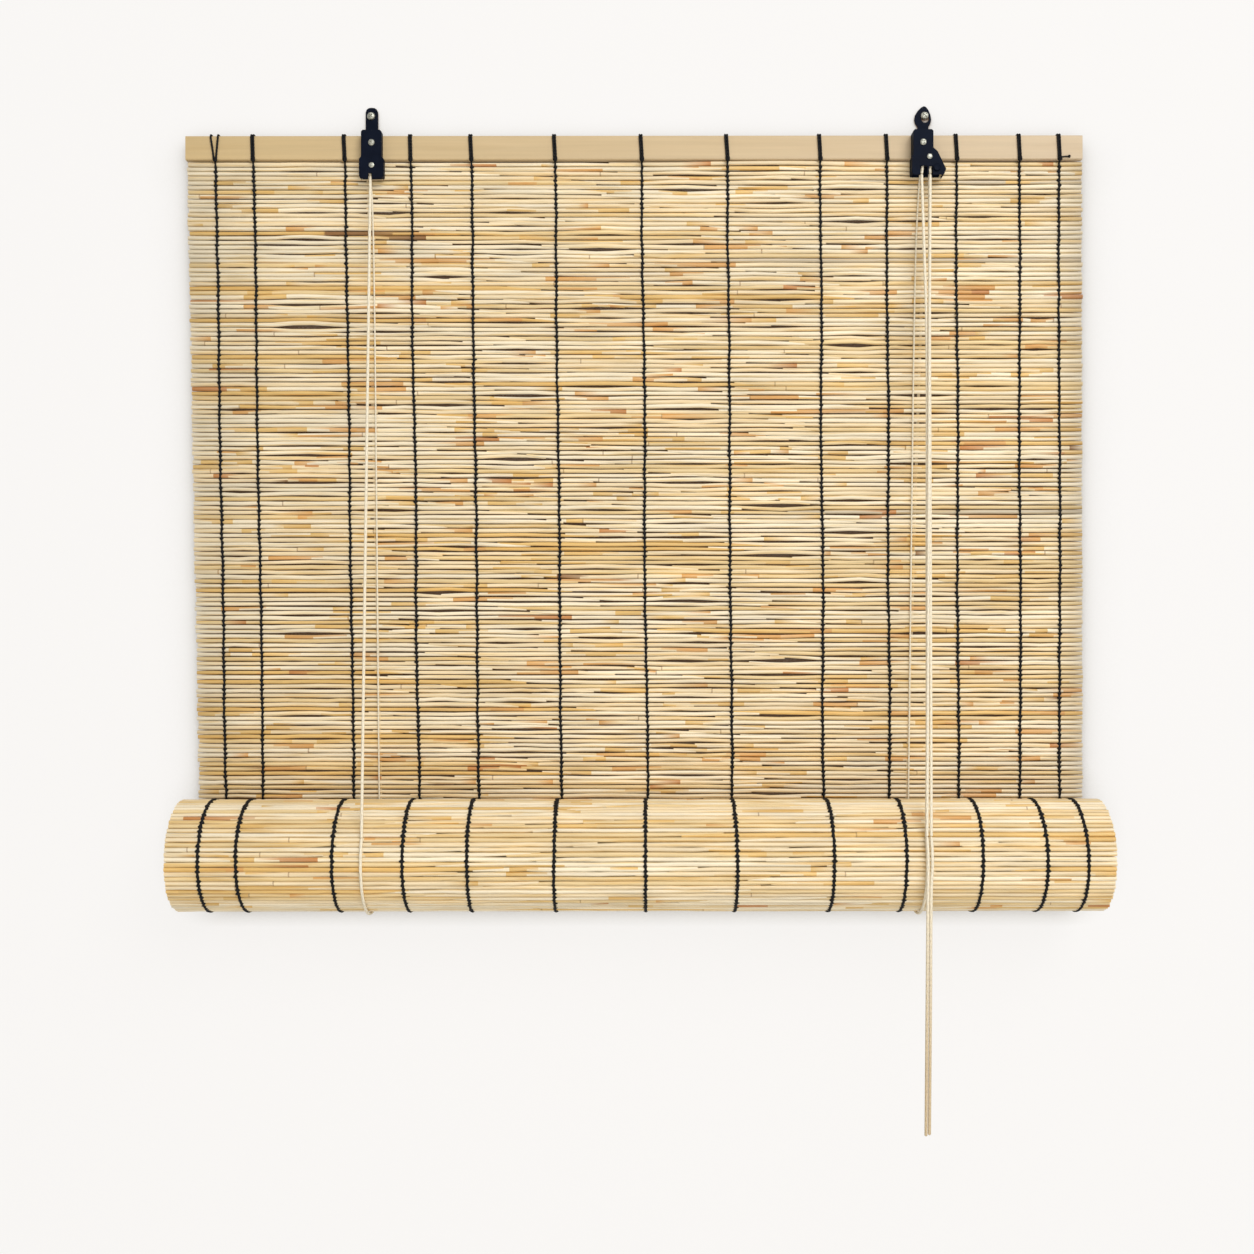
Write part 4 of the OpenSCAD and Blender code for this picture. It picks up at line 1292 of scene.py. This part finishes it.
# Metalwork: the frame's own shapes with broken edges. The rivets, collars, pulleys and wood stay as they are
edgeLook = {"merge": 0.004 * mm, "flat": 2, "sharp": 35, "smooth": 18, "segments": 2}
steelWidths = {
    "left_bracket": 0.28 * mm,
    "right_bracket": 0.28 * mm,
    "left_cheek": 0.2 * mm,
    "right_cheek": 0.2 * mm,
}
zincWidths = {
    "left_wall_screw": 0.12 * mm,
    "right_wall_screw": 0.12 * mm,
    "left_rail_screw": 0.12 * mm,
    "right_rail_screw": 0.12 * mm,
    "cord_staples": 0.25 * mm,
}
keptNodes = (
    (zincSteel, ("left_axle_rivet", "right_axle_rivet", "left_collar", "right_collar")),
    (blackNylon, ("left_pulley", "right_pulley_front", "right_pulley_rear", "lock_roller")),
    (planedWood, ("head_rail", "bottom_batten")),
)


def brokenEdges(node, width, finishUsed, slot):
    copy = nodes[node].copy()
    copy.data = nodes[node].data.copy()
    copy.parent = None
    for mark in list(copy.keys()):
        del copy[mark]
    copy.name = pieceName(node)
    copy.data.name = copy.name
    bpy.context.scene.collection.objects.link(copy)
    activate(copy)
    bpy.ops.object.mode_set(mode="EDIT")
    bpy.ops.mesh.select_all(action="SELECT")
    bpy.ops.mesh.remove_doubles(threshold=edgeLook["merge"])
    bpy.ops.mesh.dissolve_limited(angle_limit=math.radians(edgeLook["flat"]))
    bpy.ops.object.mode_set(mode="OBJECT")
    edges = copy.modifiers.new("brokenEdges", "BEVEL")
    edges.width = width
    edges.segments = edgeLook["segments"]
    edges.limit_method = "ANGLE"
    edges.angle_limit = math.radians(edgeLook["sharp"])
    bpy.ops.object.modifier_apply(modifier="brokenEdges")
    bpy.ops.object.shade_smooth_by_angle(angle=math.radians(edgeLook["smooth"]))
    settle(copy, "head", finishUsed, slot, node)


for node, width in steelWidths.items():
    brokenEdges(node, width, blackSteel, "black_steel")
for node, width in zincWidths.items():
    brokenEdges(node, width, zincSteel, "zinc_steel")
for finishUsed, kept in keptNodes:
    for node in kept:
        nodes[node].data.materials.clear()
        nodes[node].data.materials.append(finishUsed)

# The lock pin, with a knurled head
knobLook = {
    "ridges": 20,
    "depth": 0.28 * mm,
    "headHigh": 1.8 * mm,
    "rim": 0.7 * mm,
    "dish": 0.35 * mm,
    "shank": 1.2 * mm,
    "shankSides": 24,
    "smooth": 30,
}
pinLow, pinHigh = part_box("lock_pin")
pinX, pinZ = (pinLow.x + pinHigh.x) / 2, (pinLow.z + pinHigh.z) / 2
headRadius = (pinHigh.x - pinLow.x) / 2


def pinRound(sides, radius, depth, middleY):
    deselect()
    bpy.ops.mesh.primitive_cylinder_add(
        vertices=sides,
        radius=radius,
        depth=depth,
        location=(pinX, middleY, pinZ),
        rotation=(math.pi / 2, 0, 0),
    )
    bpy.ops.object.transform_apply(location=True, rotation=True, scale=True)
    return bpy.context.object


headHigh = knobLook["headHigh"]
knob = pinRound(2 * knobLook["ridges"], headRadius, headHigh, pinLow.y + headHigh / 2)
pressed = 1 - knobLook["depth"] / headRadius
for number, point in enumerate(knob.data.vertices):
    if (number // 2) % 2:  # every other upright edge is pressed in
        point.co.x = pinX + (point.co.x - pinX) * pressed
        point.co.z = pinZ + (point.co.z - pinZ) * pressed
for face in knob.data.polygons:
    face.select = face.normal.y < -0.9
for edge in knob.data.edges:
    edge.select = False
bpy.ops.object.mode_set(mode="EDIT")
bpy.ops.mesh.select_mode(type="FACE")
bpy.ops.mesh.inset(thickness=knobLook["rim"], depth=0)
bpy.ops.transform.translate(value=(0, knobLook["dish"], 0))
bpy.ops.object.mode_set(mode="OBJECT")
shankLong, shankY = pinHigh.y - pinLow.y - headHigh, (pinHigh.y + pinLow.y + headHigh) / 2
shank = pinRound(knobLook["shankSides"], knobLook["shank"], shankLong, shankY)
lockPin = joined("LockPin", [knob, shank])
bpy.ops.object.shade_smooth_by_angle(angle=math.radians(knobLook["smooth"]))
settle(lockPin, "lock_pin", blackSteel, "black_steel", "lock_pin")
print("metalwork done")
